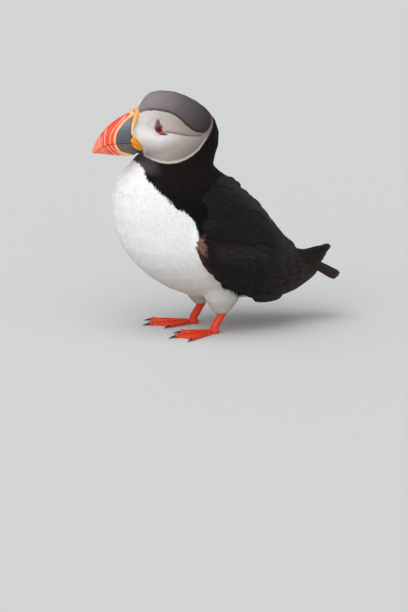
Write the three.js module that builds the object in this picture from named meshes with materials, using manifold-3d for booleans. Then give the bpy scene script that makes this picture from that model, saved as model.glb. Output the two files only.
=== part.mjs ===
// Atlantic puffin, standing at rest with folded wings: a still, life-size model.
//
// Units are millimetres, +Z is up. The bird faces -Y and its left side is +X. The finished group has its
// origin on the floor, at the centre of the bottom of its bounding box.
//
// Most pieces are lofts of "ribs". A rib is one cross-section of the body: a back point and a belly point in
// the bird's middle plane, each given as [forward, height], and a half width to each side. The surface runs
// smoothly through the ribs in order and closes on a point at both ends.

import * as THREE from "three";
import { mergeVertices } from "three/addons/utils/BufferGeometryUtils.js";
import Module from "manifold-3d";

// ---------------------------------------------------------------------------- driving dimensions

const GAP = 0.3; // clearance between neighbouring pieces
const LEG_SPREAD = 20; // each leg stands this far from the middle plane
const TOE_OUT = 9; // degrees that each foot turns outwards
const EYE = {
  forward: 45.7,
  height: 159.7,
  side: 15.4,
  radius: 3.8,
  socketRadius: 4.9,
  lookForward: 26, // degrees forwards of straight sideways
  lookUp: 14,
};
const ORBIT = { radius: 2.75, thickness: 0.7, out: 3 }; // the fleshy ring, out from the eye's centre
const ROSETTE = {
  forward: 60.4,
  height: 147,
  side: 7.6,
  halfThickness: 2.3,
  halfLength: 6.2,
  halfWidth: 3,
  descent: 42, // degrees below level towards the rear
  flare: 16, // degrees that its rear end stands out from the middle plane
};
const BILL_BAND = { halfWidth: 1.7, halfThickness: 1.3 };
const EYE_PLATE_HALF_THICKNESS = 0.9;
const TAIL = {
  forward: -62,
  height: 54.6,
  length: 50,
  slope: 24.5, // degrees below level
  rootWidth: 22,
  tipWidth: 36,
  rootDepth: 9,
  tipDepth: 1.2,
  drop: 8, // how far the outer feathers lie below the middle ones at the tip
  rootDrop: 0.35, // the share of that at the root
  arch: 50,
  rounding: 0.16,
  notch: 0.045,
  feathers: 7, // feather ends that show across the closed tail
};
const TOE_JOINT = 3; // how far forward of the bird's middle the toes meet
const TOE_ROOT = 3; // each toe starts this far behind that, inside the pad
const FOOT_PAD = { halfWidth: 4, halfLength: 4.6, halfHeight: 3.4, height: 1.6 };
const WEB = { thickness: 1.2, reach: 0.97, scallop: 0.2, heel: 3.5 };
const CLAW = { length: 7.2, radius: 1.3, inset: 1.6, drop: 1.7, clearance: 0.15 };
const NECK_CUT = { forward: 26, height: 131, tilt: 6 }; // plane between head and neck
const COLLAR_CUT = { forward: 26, height: 117.5, tilt: 2 }; // plane between neck and trunk
const WINGTIP_CUT = { forward: -62, height: 50, tilt: 28 }; // plane between wing and long flight feathers

const COLOURS = {
  black: 0x1d191a,
  white: 0xe9e8e6,
  face: 0xcfc9c5,
  brown: 0x30241f,
  billRed: 0xe2472c,
  billSlate: 0x5b6170,
  ring: 0xe8b45a,
  rosette: 0xf29411,
  leg: 0xe5501c,
  claw: 0x17120f,
  eye: 0x120c0a,
  orbit: 0xc8331f,
  plate: 0x5d6070,
};

// ---------------------------------------------------------------------------- shared helpers

const wasm = await Module();
wasm.setup();

const bird = new THREE.Group();

const radians = THREE.MathUtils.degToRad;

/** A point of the model from how far forward, how high and how far to the left it is. */
const place = (forward, height, left = 0) => new THREE.Vector3(left, -forward, height);

/** The volume inside a closed mesh, negative if its faces point inwards. */
function signedVolume(points, corners) {
  const [a, b, c] = [new THREE.Vector3(), new THREE.Vector3(), new THREE.Vector3()];
  let volume = 0;
  for (let i = 0; i < corners.length; i += 3) {
    a.fromArray(points, 3 * corners[i]);
    b.fromArray(points, 3 * corners[i + 1]);
    c.fromArray(points, 3 * corners[i + 2]);
    volume += a.dot(b.cross(c)) / 6;
  }
  return volume;
}

/** A closed geometry with only shared vertices, and with its faces pointing outwards. */
function shell(geometry) {
  const bare = new THREE.BufferGeometry();
  bare.setAttribute("position", geometry.getAttribute("position").clone());
  bare.setIndex(geometry.index ? geometry.index.clone() : null);
  const merged = mergeVertices(bare, 1e-4);
  const corners = merged.index.array;
  if (signedVolume(merged.attributes.position.array, corners) < 0) {
    for (let i = 0; i < corners.length; i += 3) {
      [corners[i + 1], corners[i + 2]] = [corners[i + 2], corners[i + 1]];
    }
  }
  return merged;
}

/** A closed geometry as a solid that can be cut and joined. */
function solid(geometry) {
  const outer = shell(geometry);
  const triVerts = new Uint32Array(outer.index.array);
  const vertProperties = outer.attributes.position.array;
  return new wasm.Manifold(new wasm.Mesh({ numProp: 3, vertProperties, triVerts }));
}

/** The same solid swollen by the clearance: what is cut from its neighbours to let it in. */
function swollen(geometry, clearance = GAP) {
  const outer = shell(geometry);
  const position = outer.getAttribute("position");
  const corners = outer.index.array;
  const facesAt = Array.from({ length: position.count }, () => []);
  const triangle = new THREE.Triangle();
  for (let i = 0; i < corners.length; i += 3) {
    triangle.setFromAttributeAndIndices(position, corners[i], corners[i + 1], corners[i + 2]);
    const normal = triangle.getNormal(new THREE.Vector3());
    for (const corner of corners.slice(i, i + 3)) facesAt[corner].push(normal);
  }
  facesAt.forEach((normals, i) => {
    const outwards = normals.reduce((sum, normal) => sum.add(normal), new THREE.Vector3()).normalize();
    const steepest = Math.min(...normals.map((normal) => normal.dot(outwards)));
    const point = new THREE.Vector3().fromBufferAttribute(position, i);
    point.addScaledVector(outwards, clearance / Math.max(steepest, 0.3));
    position.setXYZ(i, point.x, point.y, point.z);
  });
  return solid(outer);
}

/** A solid back as a three.js geometry. */
function geometryOf(body) {
  const mesh = body.getMesh();
  const points = new Float32Array(mesh.numVert * 3);
  for (let i = 0; i < mesh.numVert; i++) {
    points.set(mesh.vertProperties.subarray(i * mesh.numProp, i * mesh.numProp + 3), i * 3);
  }
  const geometry = new THREE.BufferGeometry();
  geometry.setAttribute("position", new THREE.BufferAttribute(points, 3));
  geometry.setIndex(new THREE.BufferAttribute(new Uint32Array(mesh.triVerts), 1));
  geometry.computeVertexNormals();
  return geometry;
}

/** Adds a solid to the bird as one named piece. */
function addPiece(name, body, colour, roughness = 0.8) {
  const geometry = geometryOf(body);
  const material = new THREE.MeshStandardMaterial({ color: colour, roughness, metalness: 0 });
  const mesh = new THREE.Mesh(geometry, material);
  mesh.name = name;
  bird.add(mesh);
}

/** The value at u (0 to 1) of a smooth curve through evenly spaced numbers. */
function smooth(values, u) {
  const last = values.length - 1;
  const spot = Math.min(u * last, last - 1e-9);
  const i = Math.floor(spot);
  const t = spot - i;
  const [p0, p1, p2, p3] = [i - 1, i, i + 1, i + 2].map(
    (k) => values[Math.min(last, Math.max(0, k))],
  );
  const bend = 2 * p0 - 5 * p1 + 4 * p2 - p3;
  const twist = 3 * (p1 - p2) + p3 - p0;
  return p1 + 0.5 * t * (p2 - p0 + t * (bend + t * twist));
}

/** A power that keeps the sign, for squarer or rounder sections. */
const signedPower = (x, power) => Math.sign(x) * Math.abs(x) ** power;

/**
 * A sphere whose rows of vertices become the rings of a loft. ringPoint(u, angle) gives each vertex, with u
 * from 0 at the first end to 1 at the last and the angle running round the section.
 */
function loft(around, along, ringPoint) {
  const geometry = new THREE.SphereGeometry(1, around, along);
  const position = geometry.getAttribute("position");
  for (let row = 0; row <= along; row++) {
    for (let column = 0; column <= around; column++) {
      const angle = (2 * Math.PI * (column % around)) / around;
      const point = ringPoint(row / along, angle);
      position.setXYZ(row * (around + 1) + column, point.x, point.y, point.z);
    }
  }
  return geometry;
}

/**
 * A loft through ribs { back, belly, width, pear, round }. pear above 0 makes the back side narrower than the
 * belly side, and round below 1 makes the section squarer. left moves the whole loft to one side.
 */
function ribLoft(ribs, around, along, left = 0) {
  const column = (pick) => ribs.map(pick);
  const curves = {
    backForward: column((rib) => rib.back[0]),
    backHeight: column((rib) => rib.back[1]),
    bellyForward: column((rib) => rib.belly[0]),
    bellyHeight: column((rib) => rib.belly[1]),
    width: column((rib) => rib.width),
    pear: column((rib) => rib.pear ?? 0),
    round: column((rib) => rib.round ?? 1),
  };
  return loft(around, along, (u, angle) => {
    const rib = {};
    for (const key in curves) rib[key] = smooth(curves[key], u);
    const back = new THREE.Vector2(rib.backForward, rib.backHeight);
    const belly = new THREE.Vector2(rib.bellyForward, rib.bellyHeight);
    const middle = back.clone().add(belly).multiplyScalar(0.5);
    const half = back.clone().sub(belly).multiplyScalar(0.5);
    const size = u === 0 || u === 1 ? 0 : 1;
    const up = signedPower(Math.cos(angle), rib.round) * size;
    const out = signedPower(Math.sin(angle), rib.round) * size * rib.width;
    const lean = 1 - rib.pear * Math.cos(angle);
    return place(middle.x + half.x * up, middle.y + half.y * up, left + out * lean);
  });
}

/** A half space as a very large block, on the side of the plane that normal points to. */
function blockBeyond(point, normal, gap) {
  const size = 600;
  const block = new THREE.BoxGeometry(size, size, size);
  const turn = new THREE.Quaternion().setFromUnitVectors(new THREE.Vector3(0, 0, 1), normal);
  block.translate(0, 0, size / 2 + gap / 2);
  block.applyQuaternion(turn);
  block.translate(point.x, point.y, point.z);
  return solid(block);
}

/** Parts a body in two along a plane, with the clearance between them: [the far side, the near side]. */
function partAt(body, point, normal) {
  const unit = normal.clone().normalize();
  const beyond = blockBeyond(point, unit, GAP);
  const behind = blockBeyond(point, unit.clone().negate(), GAP);
  return [body.intersect(beyond), body.intersect(behind)];
}

/** The largest of the separate bodies that a cut can leave. */
function largest(body) {
  return body.decompose().reduce((best, one) => (one.volume() > best.volume() ? one : best));
}

/** The mirror image of a geometry across the bird's middle plane. */
function mirrored(geometry) {
  const flipped = geometry.clone();
  flipped.scale(-1, 1, 1);
  return flipped;
}

/** The geometry itself on the left side, or its mirror image on the right. */
const sided = (geometry, side) => (side > 0 ? geometry : mirrored(geometry));

/** A solid tube of an elliptical section along a curve, closed by flat ends. */
function tube(curve, radiusAcross, radiusDeep, around, steps) {
  const section = new THREE.Shape();
  section.absellipse(0, 0, radiusAcross, radiusDeep, 0, 2 * Math.PI);
  return new THREE.ExtrudeGeometry(section, {
    steps,
    curveSegments: around,
    bevelEnabled: false,
    extrudePath: curve,
  });
}

// ---------------------------------------------------------------------------- head, neck and trunk

// One run of ribs from the face to the root of the tail. Over the head they fan out from the throat.
const BODY_RIBS = [
  { back: [62.2, 158], belly: [62.2, 156], width: 1 },
  { back: [57.4, 171], belly: [61, 142], width: 8.4, pear: 0.06 },
  { back: [53.2, 178.4], belly: [57.4, 139], width: 12.6, pear: 0.06, round: 0.96 },
  { back: [45.4, 183.4], belly: [54.4, 137.4], width: 16.4, pear: 0.07, round: 0.94 },
  { back: [35.4, 184.5], belly: [52.9, 136.8], width: 19.4, pear: 0.07, round: 0.93 },
  { back: [24.4, 182.4], belly: [52.3, 136.4], width: 21.8, pear: 0.06, round: 0.94 },
  { back: [13.2, 177.2], belly: [52.2, 136.1], width: 23.2, pear: 0.04, round: 0.96 },
  { back: [3, 170.4], belly: [52.5, 135.8], width: 23.8, pear: 0.04 },
  { back: [-5, 160.8], belly: [53.2, 135.5], width: 24.2 },
  { back: [-8.4, 149], belly: [54.6, 135], width: 25 },
  { back: [-6.4, 137.4], belly: [57.2, 133.8], width: 27 },
  { back: [-2.4, 128.2], belly: [61.4, 130.6], width: 30.4 },
  { back: [-7.8, 121.4], belly: [66.8, 124.6], width: 35 },
  { back: [-18.4, 113.6], belly: [71.8, 116.4], width: 39.6 },
  { back: [-29.6, 103.6], belly: [74.8, 106], width: 43.2 },
  { back: [-40.6, 92.8], belly: [75.2, 93], width: 45.8 },
  { back: [-50.2, 81.4], belly: [72, 78], width: 47 },
  { back: [-58.4, 71], belly: [64.4, 62], width: 47 },
  { back: [-64.6, 63], belly: [51.6, 47.4], width: 45 },
  { back: [-69.6, 56.6], belly: [35, 35.4], width: 41 },
  { back: [-73.6, 51.6], belly: [15, 26.6], width: 35 },
  { back: [-77.4, 47.6], belly: [-8, 22.4], width: 28 },
  { back: [-81.2, 44], belly: [-34, 23], width: 21 },
  { back: [-84.6, 40.6], belly: [-60, 26.4], width: 15 },
  { back: [-86.6, 36.6], belly: [-82, 32.4], width: 2 },
];

const makeBody = () => ribLoft(BODY_RIBS, 24, 30);

// ---------------------------------------------------------------------------- bill

// The whole bill, from its root inside the face to its tip.
const BILL_RIBS = [
  { back: [52, 158], belly: [52, 156], width: 1 },
  { back: [54, 171.6], belly: [54, 139], width: 7.4, pear: 0.3, round: 0.95 },
  { back: [61, 170.7], belly: [61, 137], width: 7.9, pear: 0.32, round: 0.92 },
  { back: [68, 168.1], belly: [67.4, 137], width: 7.4, pear: 0.34, round: 0.9 },
  { back: [75, 164.6], belly: [73.6, 137.7], width: 6.6, pear: 0.34, round: 0.9 },
  { back: [81, 160.1], belly: [79.2, 138.7], width: 5.6, pear: 0.32, round: 0.9 },
  { back: [86, 154.9], belly: [83.8, 139.6], width: 4.5, pear: 0.28, round: 0.92 },
  { back: [89.8, 149.6], belly: [87.8, 140.3], width: 3.3, pear: 0.2 },
  { back: [92.2, 144.8], belly: [90.8, 140.7], width: 2.1, pear: 0.1 },
  { back: [93.3, 141.6], belly: [93, 140.9], width: 0.8 },
];

// Where the two halves of the bill meet, from inside the face to the overhang of the tip.
const MOUTH_LINE = [[46, 148.6], [62, 148], [77.6, 147.8], [85.5, 146.2], [89.6, 143.2], [91.6, 139]];

const makeBill = () => ribLoft(BILL_RIBS, 12, 10);

/** The bill parted along the mouth: [upper half, lower half]. */
function partBill(bill) {
  const line = new THREE.SplineCurve(MOUTH_LINE.map((point) => new THREE.Vector2(...point)));
  const points = line.getPoints(8);
  const above = points.map((point) => new THREE.Vector2(point.x, point.y + GAP / 2));
  const below = points.map((point) => new THREE.Vector2(point.x, point.y - GAP / 2));
  const outline = new THREE.Shape([...above, ...below.reverse()]);
  const depth = 60; // wider than the bill
  const slot = new THREE.ExtrudeGeometry(outline, { depth, bevelEnabled: false });
  slot.translate(0, 0, -depth / 2);
  slot.rotateX(Math.PI / 2);
  slot.rotateZ(-Math.PI / 2);
  const halves = bill.subtract(solid(slot)).decompose();
  const height = (half) => half.boundingBox().max[2];
  return halves.sort((one, other) => height(other) - height(one)).slice(0, 2);
}

/** The pale horny band that arches over the root of the upper bill, from gape to gape. */
function makeBillBand() {
  const leftSide = [
    place(61.6, 150.4, 8),
    place(64, 156, 7.7),
    place(62.8, 162.8, 6.6),
    place(59.6, 168.8, 4.5),
  ];
  const rightSide = leftSide.map((point) => new THREE.Vector3(-point.x, point.y, point.z));
  const top = place(57, 172.4);
  const curve = new THREE.CatmullRomCurve3([...leftSide, top, ...rightSide.reverse()]);
  return tube(curve, BILL_BAND.halfWidth, BILL_BAND.halfThickness, 3, 10);
}

/** The wrinkled fleshy rosette at the corner of the mouth. */
function makeRosette(side) {
  const geometry = new THREE.SphereGeometry(1, 10, 6);
  geometry.scale(ROSETTE.halfThickness, ROSETTE.halfLength, ROSETTE.halfWidth);
  geometry.rotateX(radians(-ROSETTE.descent));
  geometry.rotateZ(radians(ROSETTE.flare));
  const centre = place(ROSETTE.forward, ROSETTE.height, ROSETTE.side);
  geometry.translate(centre.x, centre.y, centre.z);
  return sided(geometry, side);
}

// ---------------------------------------------------------------------------- eyes

/** Puts a piece made round the origin, with +X looking out of the left eye, in its place in the head. */
function eyeFrame(geometry, side) {
  geometry.rotateY(radians(-EYE.lookUp));
  geometry.rotateZ(radians(-EYE.lookForward));
  const centre = place(EYE.forward, EYE.height, EYE.side);
  geometry.translate(centre.x, centre.y, centre.z);
  return sided(geometry, side);
}

const makeEye = (side) => eyeFrame(new THREE.SphereGeometry(EYE.radius, 10, 6), side);

/** The hollow in the head that the eye and its ring sit in. */
const makeSocket = (side) => eyeFrame(new THREE.SphereGeometry(EYE.socketRadius, 10, 7), side);

/** The red fleshy ring round the eye. */
function makeOrbit(side) {
  const geometry = new THREE.TorusGeometry(ORBIT.radius, ORBIT.thickness, 4, 12);
  geometry.rotateY(Math.PI / 2);
  geometry.translate(ORBIT.out, 0, 0);
  return eyeFrame(geometry, side);
}

// The two horny plates on the skin by each eye. Their places are [backwards, upwards] from the eye's centre,
// turn is the way that the narrow end points, in degrees backwards from straight up.
const EYE_PLATES = {
  upper: { place: [-0.7, 4.6], halfLength: 1.8, halfWidth: 1.5, taper: 0.8, turn: 0, out: 2.6 },
  lower: { place: [1.5, -4], halfLength: 4, halfWidth: 0.8, taper: 0.4, turn: 82, out: 2.7 },
};

function makeEyePlate(plate, side) {
  const geometry = new THREE.SphereGeometry(1, 6, 5);
  const position = geometry.getAttribute("position");
  for (let i = 0; i < position.count; i++) {
    position.setY(i, position.getY(i) * (1 - plate.taper * position.getZ(i)));
  }
  geometry.scale(EYE_PLATE_HALF_THICKNESS, plate.halfWidth, plate.halfLength);
  geometry.rotateX(radians(-plate.turn));
  geometry.translate(plate.out, ...plate.place);
  return eyeFrame(geometry, side);
}

// ---------------------------------------------------------------------------- wings and tail

// Each wing rib has a lower and an upper edge, [forward, height, side], and how far the closed wing bulges
// out and in, towards the body, from the line between them. All sides are for the left wing.
const WING_RIBS = [
  { low: [30.5, 77.5, 43], high: [30.5, 79.5, 43], out: 0.5, into: 0.5 },
  { low: [27.8, 69, 43.5], high: [28, 88.5, 42.4], out: 4.4, into: 6 },
  { low: [21.5, 58.4, 44], high: [20, 95.5, 42.2], out: 6, into: 9 },
  { low: [12, 47.6, 43.5], high: [8, 99.5, 41.2], out: 7.4, into: 11 },
  { low: [0, 38, 41.6], high: [-6, 99.8, 39], out: 8.6, into: 12 },
  { low: [-14, 30.2, 38.6], high: [-20, 96.5, 35.4], out: 9.4, into: 12 },
  { low: [-29, 26.2, 34.6], high: [-34, 88, 30.6], out: 9.4, into: 11 },
  { low: [-44, 26.2, 30], high: [-47, 76.6, 25], out: 8.4, into: 9 },
  { low: [-57, 28.8, 25.4], high: [-58.5, 65.4, 18.6], out: 6.6, into: 6 },
  { low: [-69, 33, 20.4], high: [-69.5, 57.2, 12.4], out: 4.8, into: 4 },
  { low: [-79, 38, 15.4], high: [-80, 55.2, 8], out: 3.4, into: 2.6 },
  { low: [-87, 43, 10.8], high: [-89.5, 56.2, 5.4], out: 2.1, into: 1.7 },
  { low: [-92.4, 47, 7.6], high: [-96.4, 57.4, 4.2], out: 1.2, into: 1.1 },
  { low: [-97.4, 54, 4.6], high: [-97.8, 56, 4.2], out: 0.5, into: 0.5 },
];

function makeWing(side) {
  const edge = (key, axis) => WING_RIBS.map((rib) => rib[key][axis]);
  const curves = {
    low: [0, 1, 2].map((axis) => edge("low", axis)),
    high: [0, 1, 2].map((axis) => edge("high", axis)),
    out: WING_RIBS.map((rib) => rib.out),
    into: WING_RIBS.map((rib) => rib.into),
  };
  const geometry = loft(12, 16, (u, angle) => {
    const low = place(...curves.low.map((values) => smooth(values, u)));
    const high = place(...curves.high.map((values) => smooth(values, u)));
    const middle = low.clone().add(high).multiplyScalar(0.5);
    const half = high.clone().sub(low).multiplyScalar(0.5);
    const size = u === 0 || u === 1 ? 0 : 1;
    const along = half.clone().normalize();
    const outwards = new THREE.Vector3(1, 0, 0).addScaledVector(along, -along.x).normalize();
    const bulge = size * smooth(Math.sin(angle) > 0 ? curves.out : curves.into, u);
    middle.addScaledVector(half, size * Math.cos(angle));
    return middle.addScaledVector(outwards, bulge * signedPower(Math.sin(angle), 0.9));
  });
  return sided(geometry, side);
}

/** The short tail: feathers closed into a narrow arched fan, each with a rounded end. */
function makeTail() {
  const columns = 2 * TAIL.feathers;
  const geometry = new THREE.BoxGeometry(2, 2, 1, columns, 1, 3);
  const position = geometry.getAttribute("position");
  const slope = radians(TAIL.slope);
  for (let i = 0; i < position.count; i++) {
    const across = position.getX(i);
    const along = 0.5 - position.getZ(i);
    const feather = Math.round(((across + 1) / 2) * columns);
    const end = 1 - TAIL.rounding * across * across - (feather % 2 ? 0 : TAIL.notch);
    const reach = along * TAIL.length * end;
    const spread = THREE.MathUtils.lerp(TAIL.rootWidth, TAIL.tipWidth, along ** 0.8) / 2;
    const depth = THREE.MathUtils.lerp(TAIL.rootDepth, TAIL.tipDepth, along ** 0.6) / 2;
    const lean = across * radians(TAIL.arch);
    const roof = TAIL.drop * across * across * THREE.MathUtils.lerp(TAIL.rootDrop, 1, along);
    const up = position.getY(i) * depth - roof;
    const left = (spread * Math.sin(lean)) / Math.sin(radians(TAIL.arch));
    position.setXYZ(
      i,
      left,
      -(TAIL.forward - reach * Math.cos(slope) - up * Math.sin(slope)),
      TAIL.height - reach * Math.sin(slope) + up * Math.cos(slope),
    );
  }
  return geometry;
}

// ---------------------------------------------------------------------------- legs and feet

/** The feathered thigh, which narrows to a cuff round the heel. */
const THIGH_RIBS = [
  { back: [-8, 52], belly: [2, 52], width: 1 },
  { back: [-24, 44], belly: [14, 44], width: 14 },
  { back: [-21, 33], belly: [12, 32], width: 12.5 },
  { back: [-16.5, 25], belly: [8.5, 24], width: 9.5 },
  { back: [-12, 19.4], belly: [4.6, 18.6], width: 6.4 },
  { back: [-8.6, 15.6], belly: [1.8, 15.2], width: 4.2 },
  { back: [-5, 14], belly: [-2.4, 14], width: 1 },
];

const makeThigh = (side) => ribLoft(THIGH_RIBS, 12, 7, side * LEG_SPREAD);

/** The bare shank, a little deeper than wide, from inside the cuff down to the toes. */
function makeShank(side) {
  const ribs = [
    { back: [-8, 20.6], belly: [-6, 20.6], width: 0.6 },
    { back: [-10, 18.6], belly: [-3.4, 19.6], width: 2.4 },
    { back: [-7.6, 14.4], belly: [-1, 15.6], width: 2.3 },
    { back: [-4.9, 10.4], belly: [1.4, 11.6], width: 2.3 },
    { back: [-2.6, 6.8], belly: [4, 7.8], width: 2.6 },
    { back: [-0.6, 4.2], belly: [5.4, 5], width: 2.6 },
    { back: [1.6, 3.2], belly: [3.8, 3.2], width: 0.8 },
  ];
  return ribLoft(ribs, 9, 8, side * LEG_SPREAD);
}

// Toes fan out from one joint: length without the claw, angle outwards in degrees, and thickness at the root.
const TOES = [
  { name: "inner", length: 25, angle: -30, radius: 2.1 },
  { name: "middle", length: 34, angle: -1, radius: 2.4 },
  { name: "outer", length: 32.5, angle: 27, radius: 2.2 },
];
const TOE_JOINTS = 3; // swellings along each toe

const toeDirection = (toe, side) =>
  place(1, 0).applyAxisAngle(new THREE.Vector3(0, 0, 1), side * radians(toe.angle + TOE_OUT));

const toeRoot = (side) => place(TOE_JOINT, 0, side * LEG_SPREAD);

/** One toe: a flat-soled bar with a swelling at each joint, tapering to the claw. */
function makeToe(toe, side) {
  const root = toeRoot(side);
  const direction = toeDirection(toe, side);
  const across = new THREE.Vector3(-direction.y, direction.x, 0);
  return loft(6, 9, (u, angle) => {
    const swelling = 0.2 * Math.cos(Math.PI * TOE_JOINTS * u) ** 2;
    const taper = toe.radius * (1 - 0.36 * u) * (0.86 + swelling);
    const radius = u === 0 || u === 1 ? 0 : taper * Math.min(1, 5 * u, 14 * (1 - u)) ** 0.5;
    const point = root.clone().addScaledVector(direction, THREE.MathUtils.lerp(-TOE_ROOT, toe.length, u));
    point.addScaledVector(across, radius * Math.sin(angle));
    point.z = toe.radius * 0.72 + radius * 0.86 * Math.cos(angle);
    return point;
  });
}

/** The web: flat sheets between neighbouring toes, whose front edges curve in. */
function makeWeb(side) {
  const outline = new THREE.Shape();
  const tips = TOES.map((toe) => {
    const tip = toeRoot(side).addScaledVector(toeDirection(toe, side), toe.length * WEB.reach);
    return new THREE.Vector2(tip.x, tip.y);
  });
  const heel = toeRoot(side).add(place(-WEB.heel, 0));
  outline.moveTo(heel.x, heel.y);
  outline.lineTo(tips[0].x, tips[0].y);
  for (let i = 1; i < tips.length; i++) {
    const between = tips[i - 1].clone().add(tips[i]).multiplyScalar(0.5);
    const root = new THREE.Vector2(toeRoot(side).x, toeRoot(side).y);
    const dip = between.lerp(root, WEB.scallop);
    outline.quadraticCurveTo(dip.x, dip.y, tips[i].x, tips[i].y);
  }
  outline.closePath();
  const options = { depth: WEB.thickness, bevelEnabled: false, curveSegments: 4 };
  return new THREE.ExtrudeGeometry(outline, options);
}

/** A whole webbed foot with its sole flat on the floor. */
function makeFoot(side) {
  const pad = new THREE.SphereGeometry(1, 8, 6);
  const centre = toeRoot(side);
  pad.scale(FOOT_PAD.halfWidth, FOOT_PAD.halfLength, FOOT_PAD.halfHeight);
  pad.translate(centre.x, centre.y, FOOT_PAD.height);
  const padAndWeb = solid(pad).add(solid(makeWeb(side)));
  const body = TOES.reduce((sum, toe) => sum.add(solid(makeToe(toe, side))), padAndWeb);
  const aboveFloor = blockBeyond(new THREE.Vector3(), new THREE.Vector3(0, 0, 1), 0);
  return body.intersect(aboveFloor);
}

/** A claw: a curved cone that leaves the toe's tip and bends down to the floor. */
function makeClaw(toe, side) {
  const direction = toeDirection(toe, side);
  const across = new THREE.Vector3(-direction.y, direction.x, 0);
  const root = toeRoot(side).addScaledVector(direction, toe.length - CLAW.inset);
  return loft(6, 5, (u, angle) => {
    const taper = CLAW.radius * (1 - u) ** 0.7 * Math.min(1, 6 * u) ** 0.5 + 0.12;
    const radius = u === 0 || u === 1 ? 0 : taper;
    const height = 0.3 + CLAW.drop * (1 - u ** 1.8);
    const point = root.clone().addScaledVector(direction, CLAW.length * u);
    point.addScaledVector(across, radius * 0.8 * Math.sin(angle));
    point.z = Math.max(CLAW.clearance, height + radius * Math.cos(angle));
    return point;
  });
}

// ---------------------------------------------------------------------------- assembly

const SIDES = [
  { name: "left", side: 1 },
  { name: "right", side: -1 },
];

/** A body less each of the tools. */
const cutAll = (body, tools) => tools.reduce((rest, tool) => rest.subtract(tool), body);

/** The upward normal of a plane across the neck that is tilted forwards by so many degrees. */
const planeNormal = (tilt) => place(Math.sin(radians(tilt)), Math.cos(radians(tilt)));

/** Head, neck and trunk: modelled whole, relieved for the pieces set into them, then parted by thin cuts. */
function addHeadNeckAndTrunk() {
  const setIn = SIDES.flatMap(({ side }) => [
    makeSocket(side),
    makeEyePlate(EYE_PLATES.upper, side),
    makeEyePlate(EYE_PLATES.lower, side),
    makeRosette(side),
    makeWing(side),
    makeThigh(side),
  ]);
  const hollows = [...setIn, makeBill(), makeBillBand()].map((geometry) => swollen(geometry));
  hollows.push(swollen(makeTail(), 1.5 * GAP));
  const whole = cutAll(solid(makeBody()), hollows);
  const neckTop = place(NECK_CUT.forward, NECK_CUT.height);
  const [head, below] = partAt(whole, neckTop, planeNormal(NECK_CUT.tilt));
  const neckBottom = place(COLLAR_CUT.forward, COLLAR_CUT.height);
  const [neck, trunk] = partAt(below, neckBottom, planeNormal(COLLAR_CUT.tilt));
  addPiece("head", largest(head), COLOURS.face);
  addPiece("neck", largest(neck), COLOURS.black);
  addPiece("trunk", largest(trunk), COLOURS.white);
}

function addBill() {
  const rosettes = SIDES.map(({ side }) => swollen(makeRosette(side)));
  const [upper, lower] = partBill(cutAll(solid(makeBill()), [swollen(makeBillBand()), ...rosettes]));
  addPiece("bill_upper", upper, COLOURS.billRed, 0.45);
  addPiece("bill_lower", lower, COLOURS.billRed, 0.45);
  addPiece("bill_band", largest(cutAll(solid(makeBillBand()), rosettes)), COLOURS.ring, 0.55);
  for (const { name, side } of SIDES) {
    addPiece(`gape_rosette_${name}`, solid(makeRosette(side)), COLOURS.rosette, 0.6);
  }
}

function addEyes() {
  for (const { name, side } of SIDES) {
    const ring = swollen(makeOrbit(side));
    const ball = swollen(makeEye(side));
    addPiece(`eye_${name}`, largest(solid(makeEye(side)).subtract(ring)), COLOURS.eye, 0.1);
    addPiece(`eye_ring_${name}`, solid(makeOrbit(side)), COLOURS.orbit, 0.6);
    for (const where in EYE_PLATES) {
      const plate = cutAll(solid(makeEyePlate(EYE_PLATES[where], side)), [ball, ring]);
      addPiece(`eye_plate_${where}_${name}`, largest(plate), COLOURS.plate, 0.6);
    }
  }
}

function addWings() {
  for (const { name, side } of SIDES) {
    const normal = place(-Math.cos(radians(WINGTIP_CUT.tilt)), Math.sin(radians(WINGTIP_CUT.tilt)));
    const cut = place(WINGTIP_CUT.forward, WINGTIP_CUT.height);
    const [tip, arm] = partAt(solid(makeWing(side)).subtract(swollen(makeTail())), cut, normal);
    addPiece(`wing_${name}`, largest(arm), COLOURS.black);
    addPiece(`primaries_${name}`, largest(tip), COLOURS.brown);
  }
}

function addLegs() {
  for (const { name, side } of SIDES) {
    const shank = swollen(makeShank(side));
    const thigh = cutAll(solid(makeThigh(side)), [shank, swollen(makeWing(side))]);
    const claws = TOES.map((toe) => swollen(makeClaw(toe, side)));
    addPiece(`thigh_${name}`, largest(thigh), COLOURS.white);
    addPiece(`shank_${name}`, solid(makeShank(side)), COLOURS.leg, 0.5);
    addPiece(`foot_${name}`, largest(cutAll(makeFoot(side), [shank, ...claws])), COLOURS.leg, 0.5);
    for (const toe of TOES) {
      addPiece(`claw_${toe.name}_${name}`, solid(makeClaw(toe, side)), COLOURS.claw, 0.3);
    }
  }
}

addHeadNeckAndTrunk();
addBill();
addEyes();
addWings();
addPiece("tail", solid(makeTail()), COLOURS.brown);
addLegs();

// The origin goes to the floor, under the centre of the bounding box.
const box = new THREE.Box3().setFromObject(bird);
const middle = box.getCenter(new THREE.Vector3());
for (const piece of bird.children) piece.geometry.translate(-middle.x, -middle.y, -box.min.z);

export default bird;
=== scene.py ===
"""Atlantic puffin, standing with folded wings: skin, plumage, bill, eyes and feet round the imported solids.

Lengths are in millimetres in the bird's own frame: +X is its left side, +Y its tail end, +Z is up, and the
origin is on the floor between the feet. build() turns them into metres in the shared frame.
"""

import math
from functools import lru_cache, partial
from typing import NamedTuple

import bmesh
import bpy
import numpy as np
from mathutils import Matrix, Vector, noise
from mathutils.bvhtree import BVHTree


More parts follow.
